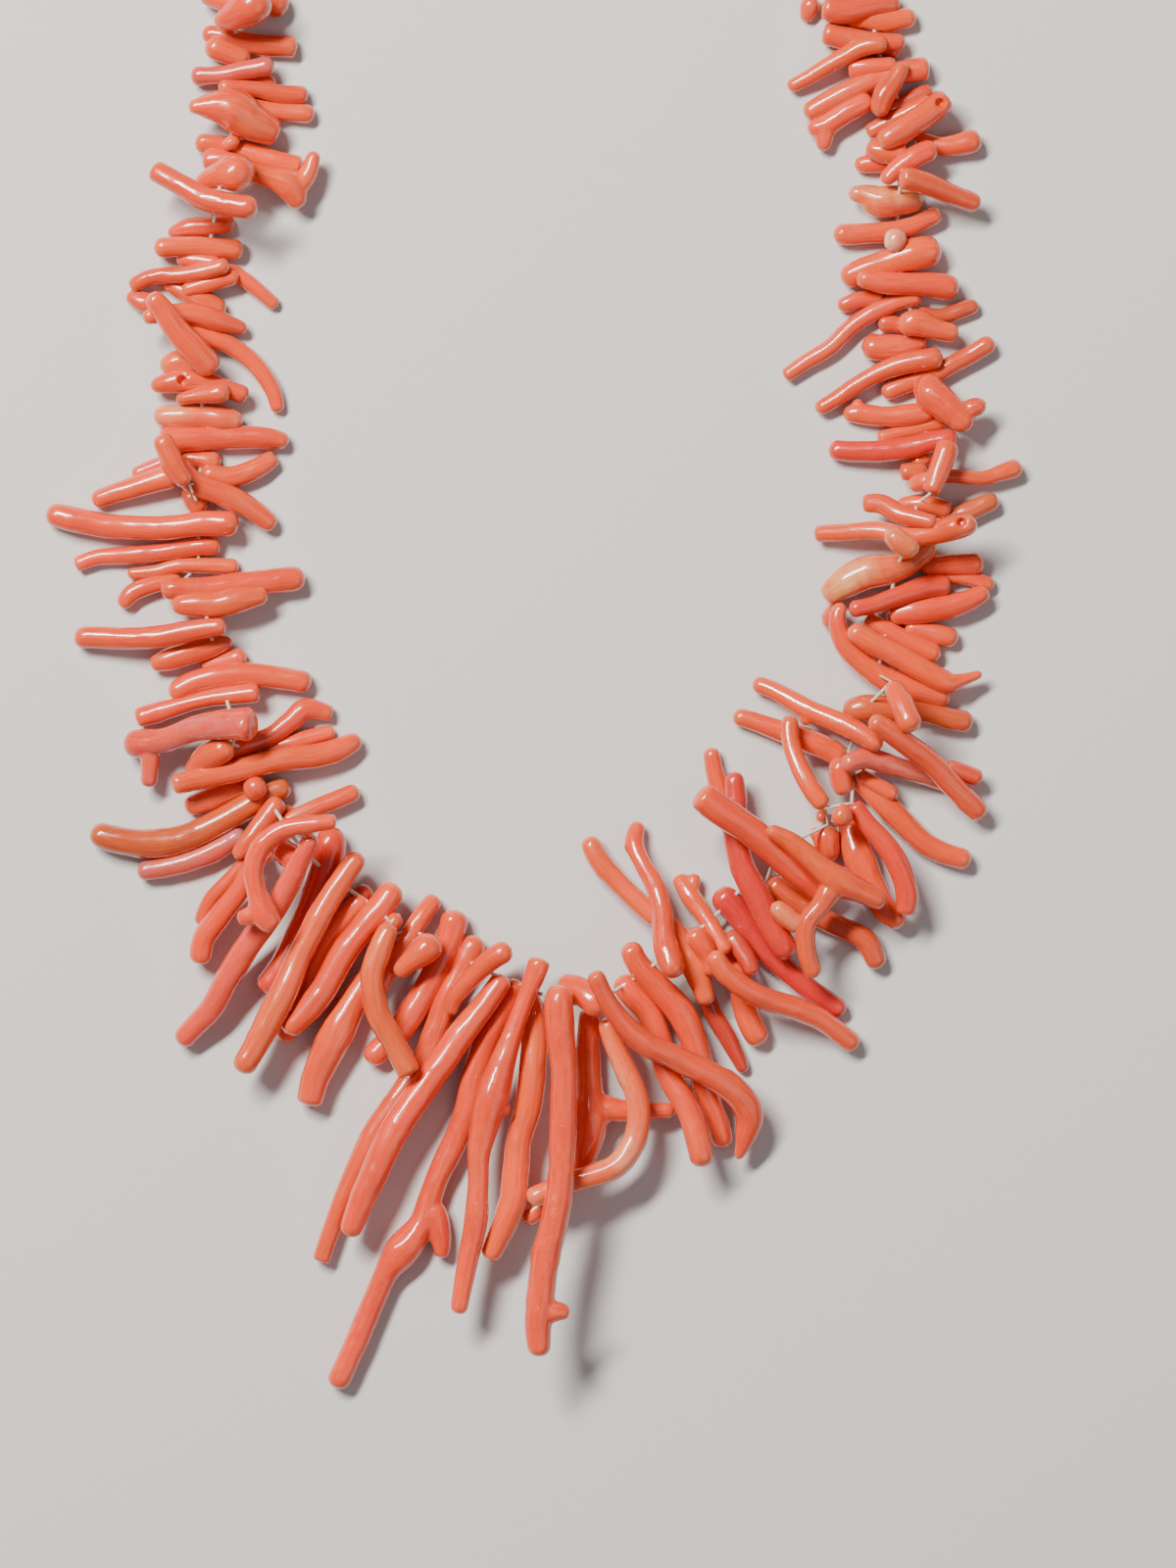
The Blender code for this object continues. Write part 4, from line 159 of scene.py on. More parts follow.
rightTwigs = [
    ("coral", 3, [(113.6, 113, 2.2), (114.7, 110.5, 2.9), (115.6, 108.3, 3), (116.3, 106.7, 2.8)]),
    ("brown", 0, [(107.6, 109.3, 2), (110, 109.7, 3.4), (113.5, 109.5, 3.2), (118, 109.2, 2.8),
     (121.5, 108.3, 2.8), (124.4, 107.9, 2.6)]),
    ("coral", 2, [(107.5, 123.2, 1.6), (106.9, 120.8, 2.2), (107.6, 118.2, 2.6), (109.5, 115.9, 2.8),
     (112.3, 113.9, 3), (115.5, 112.5, 3.2), (118.5, 111.6, 3.2), (121.5, 111.1, 3)]),
    ("coral", 2, [(108.2, 119.9, 2.4), (111, 118.2, 2.8), (114.5, 116.4, 2.8), (118, 114.5, 2.8),
     (121, 113, 2.8), (123, 113.4, 1.6), (125.4, 114.2, 1)]),
    ("coral", 2, [(110.5, 121.3, 1.8), (113.5, 119.6, 2.4), (117, 117.8, 2.6), (120.2, 116.4, 2.6)]),
    ("coral", 1, [(115.6, 120.2, 1.8), (118, 119.6, 2.2), (120.5, 119, 2.6), (122.5, 118.6, 2.4)]),
    ("coral", 1, [(113.4, 121.8, 2.6), (116.5, 122.1, 3.4), (120, 122.6, 3.2), (123.5, 123.4, 2.8),
     (126.3, 124.8, 2)]),
    ("coral", 0, [(120.5, 126.5, 1.6), (124, 126.4, 2), (127.1, 125.3, 1.8)]),
    ("coral", 1, [(117.5, 127.8, 2.4), (121, 128, 2.7), (125.8, 128.3, 2.8)]),
    ("yellow", 2, [(105.2, 123.9, 2.4), (107.5, 125.5, 3.8), (110.5, 127, 4.2), (113.5, 127.4, 3.8),
     (116, 128.2, 3.1), (118.2, 130, 2.8), (119.1, 131.2, 2.6)]),
    ("red", 2, [(108.3, 122.2, 2.2), (111.5, 122.9, 2.3), (115, 124.2, 2.5), (118, 125.2, 2.8),
     (121.4, 125.4, 2.6)]),
    ("coral", 1, [(104.9, 121.6, 2.8), (106.2, 121.4, 3.2), (108, 121.6, 2.2)]),
    ("coral", 2, [(104.1, 132, 2.2), (108, 132.3, 2.2), (112, 132.4, 2.2), (115.5, 131.7, 2.4),
     (119, 131.9, 2.8), (122, 132.8, 3.2), (124.4, 133, 2)]),
    ("brown", 0, [(119.5, 133, 2.2), (123, 134.6, 2.6), (127.6, 136.6, 2.4)]),
    ("pale", 3, [(112.9, 132.3, 2.2), (114.6, 130.8, 2.8), (117, 129.4, 2.4)]),
    ("coral", 2, [(110.1, 135.8, 2.2), (112.5, 135.7, 2.4), (115, 134.3, 2.5), (119.2, 133.2, 1.6)]),
    ("coral", 1, [(114.5, 135.7, 1.6), (117.5, 135.9, 2.4), (121.5, 135, 2.2)]),
    ("coral", 3, [(121.2, 144, 2.6), (120.5, 141.8, 2.8), (119.5, 139.2, 2.6), (118.6, 137, 2.2)]),
    ("coral", 1, [(119, 142.6, 2.2), (117.5, 141.3, 2.4), (116.4, 140.2, 1.8)]),
    ("orange", 1, [(114.8, 139.8, 2.2), (116.3, 140, 2.3), (118.5, 140.3, 2)]),
    ("pale", 2, [(116, 138.2, 1.8), (118, 138.6, 2.4), (119.5, 139, 2)]),
    ("coral", 1, [(119, 139.3, 1.6), (122, 139.4, 1.7), (125.5, 139.2, 1.7), (128, 139.9, 2.2),
     (130.6, 140.7, 2.6)]),
    ("red", 2, [(105.8, 142.9, 2.4), (109, 142.6, 2.7), (113, 142.6, 2.8), (116.5, 143.1, 2.7),
     (119.5, 143.9, 2.6), (122.3, 144.4, 2.6)]),
    ("coral", 1, [(112, 144.4, 1.6), (116, 145.2, 1.8), (119, 146, 2), (121, 146.2, 1.8)]),
    ("coral", 3, [(119.8, 152.2, 2.4), (118.6, 150.3, 4), (120.2, 148.8, 4), (122.3, 147, 3.4),
     (123.8, 145.2, 2.6)], [(122.8, 147.3, 2.6), (124.5, 148.2, 2.4), (125.9, 147.8, 2.2)]),
    ("coral", 1, [(107.6, 147.5, 1.8), (110, 147.4, 2.6), (113.5, 147.1, 2.6), (117, 147.4, 2.8),
     (119.5, 147.8, 2)], [(109.9, 148.2, 2.2), (109, 149.3, 1.6)]),
    ("coral", 1, [(112.6, 150, 2), (115, 150.9, 2.3), (118.5, 152.2, 2.3), (121.5, 153.6, 2.4),
     (124.5, 155.3, 2.4), (127, 156.9, 2.4)]),
    ("coral", 2, [(104.2, 147.8, 2), (106.5, 149.2, 2.1), (109.5, 151.2, 2.3), (112.5, 152.8, 2.4),
     (116, 153.9, 2.7), (120.4, 154.7, 2.8)]),
    ("coral", 1, [(110, 156, 2.8), (113, 156, 3.3), (116, 156.2, 2.8), (118.5, 156.7, 1.6)]),
    ("coral", 1, [(112.1, 159.1, 1.8), (114, 159, 2), (116, 158.6, 1.8)]),
    ("coral", 2, [(114.6, 158.3, 2.2), (117, 159, 3.4), (119.5, 158.1, 2.6), (122.5, 157.5, 2.2)]),
    ("brown", 0, [(117, 160.2, 2), (120.5, 160, 2), (123, 160.8, 2.1), (125.1, 161.5, 1.8)]),
    ("orange", 2, [(100.1, 152.2, 1.8), (103, 154, 2), (106, 156, 2.1), (109, 158.8, 2.1),
     (112, 160.7, 2.2), (115, 162, 2.3), (117.8, 162.4, 2.2)]),
    ("coral", 1, [(107, 161.1, 1.8), (109.5, 162, 2.1), (113, 162.4, 1.8)]),
    ("coral", 2, [(109.3, 164.8, 2), (112.5, 164.1, 2.8), (116, 163.9, 2.8), (119.5, 163.8, 3.3),
     (122.5, 163.4, 3)]),
    ("coral", 1, [(107.4, 164.6, 2.6), (110, 165.7, 3.2), (113.5, 166.8, 3.4), (117, 167.9, 4),
     (120.3, 168.4, 3.6)]),
    ("coral", 1, [(106.4, 170.4, 2.6), (110, 170.5, 2.7), (113.5, 170.8, 2.6), (116.5, 171.6, 2.3),
     (120.3, 173.2, 2.3)]),
    ("chalk", 2, [(114.6, 171, 2.7), (114.2, 169.4, 2.7), (113.6, 168, 2)]),
    ("yellow", 2, [(108.3, 175.6, 1.6), (110, 175.4, 2.4), (112.3, 174.5, 4), (115, 174.8, 3.8),
     (118, 174.6, 2.4)]),
    ("coral", 3, [(114.6, 177.2, 2.6), (117.5, 176.7, 2.8), (121, 175.4, 2.6), (125.1, 174, 2.4)]),
    ("coral", 2, [(112.6, 176.7, 1.8), (114.5, 178.6, 2.3), (117, 180.2, 2.8), (119.6, 181.3, 2.6)]),
    ("coral", 1, [(117, 182.9, 2), (120, 181.8, 2.5), (123, 182, 2.9), (125.4, 182.7, 3)]),
    ("coral", 1, [(109.1, 179.3, 1.8), (111.5, 179.6, 2.6), (114.5, 180, 2.6)]),
    ("coral", 1, [(110.6, 181.6, 2.2), (113, 180.8, 3), (116, 180.8, 2.4)]),
    ("coral", 2, [(112, 181.8, 2.6), (114.5, 183.1, 3.2), (117, 184.8, 3.3), (119.2, 186.4, 3.2),
     (121, 187.8, 2.8)]),
    ("coral", 1, [(110.7, 183.4, 1.8), (113.5, 184.7, 2.4), (117, 186.3, 2.4), (119, 187.6, 2.2)]),
    ("dark", 0, [(113, 186.4, 1.8), (116, 187.6, 2.2), (119.3, 188.9, 2.2)]),
    ("coral", 1, [(102.7, 185.7, 2.2), (106, 187.6, 2.6), (110, 189.4, 2.8), (114, 191, 2.8),
     (118.8, 191.8, 3)]),
    ("coral", 2, [(103, 184, 1.8), (105.5, 184.5, 2.8), (108.5, 186.2, 2.8),
     (111.5, 187.8, 2.4)], [(105.6, 184.5, 2.8), (105.2, 182.6, 2.2), (105.2, 181, 1.6)]),
    ("coral", 3, [(115.5, 192.3, 1.8), (114.2, 190, 2.4), (112.8, 188, 2.8), (112, 185.3, 2)]),
    ("coral", 1, [(108.3, 191.8, 2.4), (110.5, 191.7, 2.6), (114.5, 192.2, 1.8)]),
    ("coral", 2, [(100.6, 189.2, 1.8), (104, 191, 2), (107.5, 192.9, 2.2), (110, 194.2, 2.4),
     (113.3, 194.6, 2.2)]),
    ("coral", 1, [(105, 196.3, 2.8), (108, 195.6, 2.8), (111.5, 195.1, 2.4), (115.7, 195, 2)]),
    ("dark", 0, [(111, 194.4, 1.8), (115, 193.8, 1.8)]),
    ("coral", 1, [(107.7, 197.6, 1.8), (110, 198.1, 2.6), (113.5, 197.8, 2.8), (117.1, 198.3, 2.4)]),
    ("coral", 2, [(104.8, 199.4, 3), (108, 199, 3.2), (112, 199.7, 2.8), (115, 200.2, 2.4)]),
    ("coral", 1, [(102.9, 197.7, 1.2), (103.3, 199.3, 2.4), (103.8, 201, 2.2)]),
]
# The twigs of the front, by their number.
frontTwigs = {
    1: ("coral", 3, [(43.3, 95.3, 1.8), (40, 95, 2.2), (36.5, 94.2, 2.4), (33.8, 92.4, 2.6),
     (32.6, 89.5, 2.6), (33, 86.5, 2.6), (34, 83.5, 3.4), (35.5, 81.7, 2.6)], [(33.5, 84, 2.6),
     (31.8, 83.2, 2.2), (30.4, 82.9, 1.6)]),
    2: ("coral", 1, [(34, 92.2, 1.6), (31.2, 90.2, 1.6), (28.8, 87.5, 1.9), (26.5, 85, 2),
     (25.2, 81.9, 1.8)]),
    3: ("coral", 2, [(34.5, 91.5, 2.2), (32, 89.5, 2.2), (30.5, 86.5, 2.6), (28, 83.2, 2.9), (26, 80.3, 3),
     (25.3, 76.9, 2.6)]),
    5: ("rose", 2, [(40.2, 93.6, 2), (38.3, 90, 2.6), (36.3, 86, 2.8), (34, 82.5, 3), (31.4, 79, 3.2),
     (29, 75, 3.2), (26.6, 71, 3), (22.6, 66.8, 2.8)]),
    6: ("red", 0, [(42.4, 94.6, 2.8), (42, 92, 4), (41.2, 88.5, 4), (39.8, 85, 3.6), (38, 81, 3.4),
     (36, 77, 3.4), (33.2, 73.4, 3.2)]),
    7: ("orange", 2, [(46, 91.2, 2.6), (43.3, 87.3, 2.8), (40.8, 83.2, 3), (38.7, 79.2, 3), (37, 75, 3.4),
     (35, 71, 3.6), (33, 67.5, 3.2), (30.6, 63.2, 3)]),
    8: ("coral", 1, [(46.6, 85.5, 2.2), (44.3, 83.5, 2.6), (42, 80.6, 2.6), (40.2, 76.8, 2.8),
     (38.4, 72.5, 2.8), (35.8, 66.9, 2.2)]),
    10: ("coral", 1, [(50.6, 87.2, 3.2), (48.5, 84.4, 3.4), (46, 81.2, 3.3), (43.5, 77.8, 3.4),
     (41.5, 74, 3.4), (39, 71, 3.2), (36.3, 68.2, 2.6)]),
    12: ("coral", 1, [(49.8, 80.6, 2.4), (47.2, 76, 2.6), (45.5, 73, 3.6), (43.6, 69.5, 4.4),
     (41.8, 66, 4.2), (40.2, 62.5, 3.6), (39.2, 58.8, 3.2)]),
    13: ("orange", 3, [(50, 82.3, 2.2), (48.7, 79.5, 2.8), (47.6, 75.5, 3), (48.2, 71, 3), (50, 67.5, 3),
     (52.4, 62.9, 3)]),
    14: ("coral", 2, [(55.7, 85.6, 2.2), (53.6, 82.9, 2.5), (51.6, 79.6, 2.3), (49.8, 76.6, 2),
     (48.4, 73.5, 1.6)]),
    15: ("coral", 2, [(55.9, 80.4, 3.4), (54, 78.6, 3.6), (52, 77, 2.6), (50.4, 75.6, 1.8)]),
    16: ("coral", 1, [(58.2, 83.9, 3.4), (57.2, 80, 3.4), (55.5, 76, 3.4), (53.2, 72, 3.4), (50.5, 68, 3.2),
     (46.7, 64.4, 3)]),
    17: ("coral", 1, [(60.9, 80.5, 3), (59.2, 77, 3.2), (57, 73, 3.2), (55.6, 69, 3.2), (53.6, 64, 3),
     (50.5, 59.5, 3), (47.4, 55, 2.8), (45, 50, 2.6), (42.7, 44.5, 2.3), (40.7, 38.7, 2.2)]),
    18: ("coral", 2, [(64.4, 75.6, 2.6), (62, 72, 3), (59.3, 68.7, 3.4), (56.8, 65, 3.5), (53.5, 60.5, 3.6),
     (50.5, 56, 3.7), (48.2, 51.5, 3.7), (46.2, 47, 3.4), (44.3, 42.2, 2.6)]),
    19: ("coral", 2, [(65.3, 79, 2.8), (63, 77.9, 2.8), (60.5, 75.6, 2.4), (58, 72.8, 2.2),
     (57.4, 70.5, 1.6)]),
    20: ("coral", 1, [(66.2, 75, 2.4), (64, 71, 2.8), (62, 67, 3.2), (60.6, 63, 3.3), (59.6, 58.5, 3.3),
     (58, 54.5, 3.2), (56.2, 50.5, 3), (54.9, 47, 3), (53.6, 43.6, 3.4), (51.2, 40.3, 4.4), (49, 37, 3),
     (47.2, 33, 2.9), (45.4, 28.8, 3), (42.6, 22.6, 3)], [(54.6, 46.5, 3.4), (55.8, 43.5, 3),
     (56.3, 41, 2.4), (56.2, 39.2, 1.6)]),
    21: ("coral", 2, [(69, 77.9, 3), (67.6, 74, 2.4), (65.9, 69.5, 2.4), (64.3, 65, 3.2), (62.9, 60.5, 4.2),
     (61.8, 56.5, 3.6), (61.1, 52.5, 2.8), (61, 48.5, 2.7), (60.8, 45, 3), (60.2, 41.5, 2.7),
     (59.3, 37.5, 2.5), (58.5, 32.4, 2.2)], [(63, 60, 3), (64.9, 57.8, 1.2)]),
    22: ("coral", 1, [(67.6, 73.6, 1.8), (68, 70.5, 3), (68.1, 66.5, 3.4), (67.8, 62, 3.5), (67.2, 58, 3.4),
     (66.2, 54.5, 3.2), (65.8, 50.5, 3.3), (65.5, 47, 3.4), (64, 43, 3.2), (62.2, 39.2, 2.4)]),
    23: ("coral", 3, [(71.9, 74.5, 3), (71.3, 72, 3.7), (71.5, 68, 3.6), (71.9, 64, 3.4), (71.9, 59, 3.4),
     (71.8, 54, 3.4), (71.6, 50, 3.4), (70.8, 45, 3.6), (69.8, 40.8, 3.6), (69, 35.7, 3.5),
     (68.7, 31.8, 3.4), (68.8, 27.4, 2.8)], [(69.5, 33, 3.6), (71, 33.2, 2.6), (72.8, 33, 1.4)]),
    24: ("coral", 2, [(71.3, 74.6, 2.4), (73.5, 74, 3.2), (75.5, 72.6, 3.4), (77, 70.8, 3)]),
    25: ("coral", 0, [(75.2, 71.4, 2.4), (75, 68, 3), (75, 64.5, 3), (75.2, 61, 3.4), (75.2, 57.5, 4.8),
     (74.8, 54, 4), (73.5, 50.5, 3.2), (70.5, 47, 3), (66.6, 44, 2.2)], [(76, 58.8, 4.2), (79, 58.3, 2.9),
     (83, 58.2, 2.2), (86.2, 58.2, 2)]),
    26: ("pale", 1, [(77.3, 70.3, 2.4), (78.2, 67, 2.7), (79.6, 63.8, 2.7), (81, 60.8, 2.8),
     (81.5, 57.5, 2.9), (80.8, 54.3, 3), (78.3, 51.3, 3), (74.5, 49.8, 2.8), (70.5, 48.5, 2.6),
     (67.3, 47, 2.5)]),
    27: ("coral", 3, [(75.6, 76.3, 2.2), (77.2, 73, 2.3), (79.3, 69.9, 2.6), (82.5, 67, 3), (86.5, 65, 3.1),
     (90.5, 63, 3.3), (93.8, 60.8, 3.5), (95.6, 58, 3.6), (95.2, 55, 2.6), (94.1, 52, 0.9)]),
    28: ("coral", 1, [(79, 75.4, 3.2), (80.5, 73.3, 3.4), (82.8, 70.5, 3.2), (84, 67.5, 3), (85, 63.5, 3),
     (87, 59.8, 3), (88.7, 56, 3.1), (89.7, 51.2, 3)]),
    29: ("coral", 1, [(80.1, 79.8, 2.6), (81.5, 77, 3), (83.8, 74.3, 3.2), (86.5, 71.3, 3.6),
     (88.3, 68, 3.4), (89.3, 64.5, 3.2), (90.2, 60.5, 3), (91.6, 56.5, 2.9), (92.5, 53.4, 2.6)]),
    30: ("dark", 0, [(87, 77.5, 2), (89.8, 73.5, 2.2), (91.2, 70.3, 2.3), (93.2, 67, 2.2),
     (95.1, 63, 1.6)]),
    31: ("coral", 0, [(91.5, 79.5, 2.2), (94.3, 75.5, 2.6), (94.9, 72, 3), (95.9, 69.3, 3.1),
     (97.3, 66.6, 2.8)]),
    32: ("orange", 2, [(74.9, 93.2, 2.4), (76.6, 90, 2.7), (79.3, 86.9, 2.6), (82, 84.4, 2.6),
     (84.8, 82.2, 2.6), (87.2, 79.5, 2.8), (88.8, 76.2, 3.2), (90.4, 71.8, 2)]),
    33: ("coral", 3, [(81.6, 95.2, 1.8), (80.9, 92.6, 2.4), (82, 89.8, 2.2), (83.6, 86.8, 2.5),
     (84.4, 83.8, 2.6), (84.6, 80.6, 2.9), (85.3, 78, 3.3), (86.2, 75.4, 2.6)], [(81.2, 91.6, 2.2),
     (79.6, 92.4, 1.2)]),
    34: ("coral", 2, [(86.4, 88.3, 1.8), (88, 85.8, 2.6), (89.8, 83.2, 2.2), (91.3, 80.8, 2.2),
     (92.8, 78.3, 2)], [(88.6, 88.6, 1.6), (88.4, 86.4, 2)]),
    35: ("coral", 3, [(88, 81.6, 2.4), (89.3, 79.8, 2.8), (90.4, 77.8, 2.2), (90.6, 75.5, 1.6)]),
    37: ("coral", 3, [(90.9, 78.8, 2), (92.2, 76.3, 2.5), (95, 74, 2.7), (98.5, 72.4, 2.8),
     (102.3, 71, 2.8), (105.5, 69.4, 2.7), (109.4, 66.3, 2.6)]),
    38: ("crimson", 1, [(91.3, 86.3, 3.2), (93.5, 84.2, 3.6), (96, 81, 3.4), (98.5, 78, 3),
     (101.5, 75.1, 2.8), (104.8, 72.6, 2.7), (108, 70.8, 2.2)]),
    39: ("crimson", 2, [(93.6, 101.6, 2.4), (93.9, 98, 2.8), (93.8, 94, 3), (94.4, 90.5, 3.2),
     (95.9, 86.8, 3.4), (97.9, 83, 3.4), (99.5, 80, 3.4), (101, 77.9, 2.8)]),
    40: ("coral", 1, [(90.7, 104.7, 2), (91.1, 102, 2.2), (91.9, 99, 2.4), (92.8, 96, 2.2),
     (94.6, 91, 2.2)]),
    41: ("coral", 3, [(88.9, 98.9, 3.4), (92, 96.6, 3.8), (95.5, 94.2, 3.7), (99, 91.2, 3.7),
     (102.3, 88.2, 3.5), (105.3, 85.6, 2.8)]),
    42: ("brown", 1, [(97.8, 87.5, 3), (100, 86.2, 3.2), (102.8, 84.2, 3.2), (105.5, 82.6, 2.8),
     (108.3, 81.2, 2.8), (110.8, 79.6, 2.9), (112.3, 76.3, 2.6)]),
    44: ("coral", 4, [(97.6, 94.4, 1.6), (100.8, 92.6, 2.6), (104.2, 89.7, 3), (107, 87.6, 3.6),
     (110, 86.2, 3), (113, 84.9, 2.6)], [(106.3, 87.2, 3.2), (104.6, 84.6, 2.6), (102.9, 82.3, 2.5),
     (102.7, 79, 2.4), (103.9, 75.3, 2.4)]),
    45: ("coral", 0, [(108.2, 95.5, 2.4), (109.3, 91.5, 3.8), (111, 87.5, 3.8), (113, 84.2, 3.2),
     (115.4, 81.9, 2.4)]),
    46: ("red", 2, [(108.6, 97.5, 2.2), (110.8, 94.8, 2.4), (113, 92.3, 2.6), (114.8, 89.3, 2.8),
     (115.7, 86, 2.8), (115.3, 83.2, 2.4)]),
    47: ("coral", 1, [(109, 101, 2.4), (112.2, 98.2, 3), (115, 95.5, 3), (118, 92.6, 2.9), (121, 91, 2.8),
     (124.1, 90.1, 2.6)]),
    49: ("pink", 2, [(107.4, 102.3, 2.2), (110.5, 103.2, 2.6), (114, 102.4, 2.6), (117.5, 101.2, 2.3),
     (121, 99.8, 1.8)]),
    50: ("coral", 3, [(110.8, 108.3, 2), (113, 106.8, 2.6), (116, 104.8, 2.8), (119, 102.4, 2.8),
     (121.6, 99.8, 2.9), (123.6, 97.8, 3), (125.6, 95.9, 2.8)]),
    52: ("coral", 2, [(96.1, 113, 2.2), (99, 111.9, 2.3), (102.5, 110, 2.6), (106, 108.3, 2.7),
     (109.5, 106.6, 2.6), (112.5, 104.7, 2.2)], [(103.2, 109.2, 1.8), (102.6, 107.4, 1.2)]),
    53: ("coral", 1, [(93.6, 108.9, 2.2), (97.5, 107.6, 2.5), (101, 106.4, 2.8), (104.5, 104.9, 3),
     (108, 103.3, 2.6)]),
    54: ("coral", 3, [(100.7, 108.7, 2.2), (100.8, 105.5, 2.2), (101.8, 102.3, 2.3), (103.4, 99.4, 2.4),
     (105.2, 97, 2.2)]),
    58: ("coral", 2, [(105.7, 94.8, 3), (105.6, 92.5, 3.3), (106, 90, 2.8)], [(105, 93.6, 2),
     (103.2, 93.7, 1.4)]),
}
# Short chips of coral that lie against a front twig: how far above or below it, tint and route.
chips = {
    5: (-1.0, "red", [(35.2, 92.2, 2.6), (37, 91, 3.2), (38, 90, 2.4)]),
    # the darkest chips, under twigs 8 and 34, carry painted shade
    8: (-1.0, "dark", [(47.2, 86.8, 2.4), (45, 84.8, 2.4), (43, 82.5, 2.2)]),
    13: (-1.0, "coral", [(51, 83.4, 1.8), (49.6, 81.6, 2), (48.5, 80, 1.6)]),
    34: (-1.0, "dark", [(92.6, 80.9, 2.2), (94, 79.6, 2.3), (95.4, 77.5, 2.2), (96, 75.5, 2)]),
    44: (-1.0, "pale", [(98.4, 84.8, 1.8), (100.2, 83.3, 2.6), (102, 81.6, 2.2)]),
    47: (1.0, "coral", [(109.5, 101.3, 2), (111.8, 100, 2.1), (114.6, 98.3, 2)]),
    50: (-1.0, "coral", [(120.5, 102.3, 2), (123, 101.4, 2.2), (125.4, 100.6, 2.2)]),
    53: (1.0, "coral", [(107, 103.5, 2.4), (107.3, 101, 2.8), (107.8, 98.5, 2.4)]),
    54: (-1.0, "coral", [(106.2, 96.6, 2.2), (107.2, 96, 2.8), (108.6, 95.4, 2.2)]),
    58: (-1.0, "coral", [(104.2, 96.3, 1.8), (105.6, 95.6, 2)]),
}

# Tints of red coral in linear light: the body, its patches, and how much of the twig they take. All are the
# coral's own colours but the darkest, which is painted shade for twigs that lie under others.
tints = {
    "coral": ((0.86, 0.083, 0.021), (0.89, 0.18, 0.06), 0.25),
    "orange": ((0.87, 0.099, 0.022), (0.89, 0.17, 0.05), 0.3),
    "red": ((0.80, 0.048, 0.018), (0.83, 0.10, 0.04), 0.2),
    "crimson": ((0.67, 0.033, 0.021), (0.75, 0.08, 0.05), 0.25),
    "brown": ((0.65, 0.086, 0.022), (0.73, 0.14, 0.045), 0.35),
    # painted shade: a darker coral for the twigs and chips that lie under others, where shade falls
    "dark": ((0.59, 0.050, 0.020), (0.69, 0.09, 0.04), 0.2),
    "rose": ((0.81, 0.064, 0.036), (0.85, 0.12, 0.07), 0.3),
    "pink": ((0.79, 0.092, 0.050), (0.85, 0.21, 0.13), 0.35),
    "purple": ((0.77, 0.087, 0.034), (0.50, 0.14, 0.15), 0.68),
    "pale": ((0.85, 0.110, 0.032), (0.90, 0.37, 0.17), 0.4),
    "chalk": ((0.86, 0.165, 0.070), (0.90, 0.62, 0.40), 0.75),
    "yellow": ((0.85, 0.110, 0.030), (0.90, 0.47, 0.18), 0.5),
}

# The hidden back: a half circle of twigs, alternately inwards and outwards.
backRow = {
    "centre": (70.5, 201.0),
    "radius": 40.0,
    "arcSteps": 24,
    "start": 3.0,  # mm of the arc left free at each end
    "pitch": 2.8,
    "skew": 0.22,  # how far a twig turns from straight out
    "reach": (6.5, 10.0),  # mm from the thread to the long end
    "tail": (2.2, 4.0),  # mm from the thread to the short end
    "bend": 1.0,
    "bendPlace": 0.45,
    "width": (2.2, 2.9),
    "taper": (0.85, 1.0, 0.8),  # at the tail, the bend and the end
    "tints": ("coral", "orange", "coral", "red", "coral"),
    "seed": 11,
}


def backTwigs():
    dice = random.Random(backRow["seed"])
    radius = backRow["radius"]
    count = int((math.pi * radius - 2 * backRow["start"]) / backRow["pitch"])
    edge = backRow["start"] / radius
    rows = []
    for index in range(count):
        angle = edge + (math.pi - 2 * edge) * (index + 0.5) / count
        out = Vector((math.cos(angle), math.sin(angle)))
        along = Vector((-out.y, out.x))
        side = 1 if index % 2 else -1
        aim = (out * side + along * dice.uniform(-backRow["skew"], backRow["skew"])).normalized()
        reach = dice.uniform(*backRow["reach"])
        tail = dice.uniform(*backRow["tail"])
        bend = dice.uniform(-backRow["bend"], backRow["bend"])
        width = dice.uniform(*backRow["width"])
        hole = Vector(backRow["centre"]) + out * radius
        cross = Vector((-aim.y, aim.x))
        middle = hole + aim * reach * backRow["bendPlace"] + cross * bend
        route = [(spot.x, spot.y, width * share)
                 for spot, share in zip((hole - aim * tail, middle, hole + aim * reach), backRow["taper"])]
        rows.append((backRow["tints"][index % len(backRow["tints"])], index % 2, route))
    return rows


def strandLength(point, line):
    # distance along the line of its point nearest to the given one, and how far off that is
    best = (1e9, 0.0)
    run = 0.0
    for low, high in zip(line, line[1:]):
        low, high = Vector(low), Vector(high)
        step = high - low
        share = min(1.0, max(0.0, (Vector(point) - low).dot(step) / step.length_squared))
        off = (low + step * share - Vector(point)).length
        best = min(best, (off, run + share * step.length))
        run += step.length
    return best[1], best[0]


def crossing(route, line):
    # how far off the strand the route passes, how far along that is, and where
    best = None
    for low, high in zip(route, route[1:]):
        for step in range(strand["crossSteps"] + 1):
            share = step / strand["crossSteps"]
            spot = [low[k] + (high[k] - low[k]) * share for k in range(3)]
            along, off = strandLength(spot[:2], line)
            if best is None or off < best[0]:
                best = (off, along, spot)
    return best


def thin(points):
    # the route without the points that a straight taper passes close enough to
    if len(points) < 3:
        return list(points)
    first, last = np.array(points[0]), np.array(points[-1])
    step = last[:2] - first[:2]
    shares = [float(np.clip((np.array(p[:2]) - first[:2]) @ step / (step @ step), 0, 1)) for p in points]
    strays = [math.dist(p[:2], first[:2] + step * t) + abs(p[2] - first[2] - (last[2] - first[2]) * t) * 0.5
              for p, t in zip(points, shares)]
    worst = int(np.argmax(strays[1:-1])) + 1
    if strays[worst] < pile["routeSlack"]:
        return [points[0], points[-1]]
    return thin(points[:worst + 1])[:-1] + thin(points[worst:])


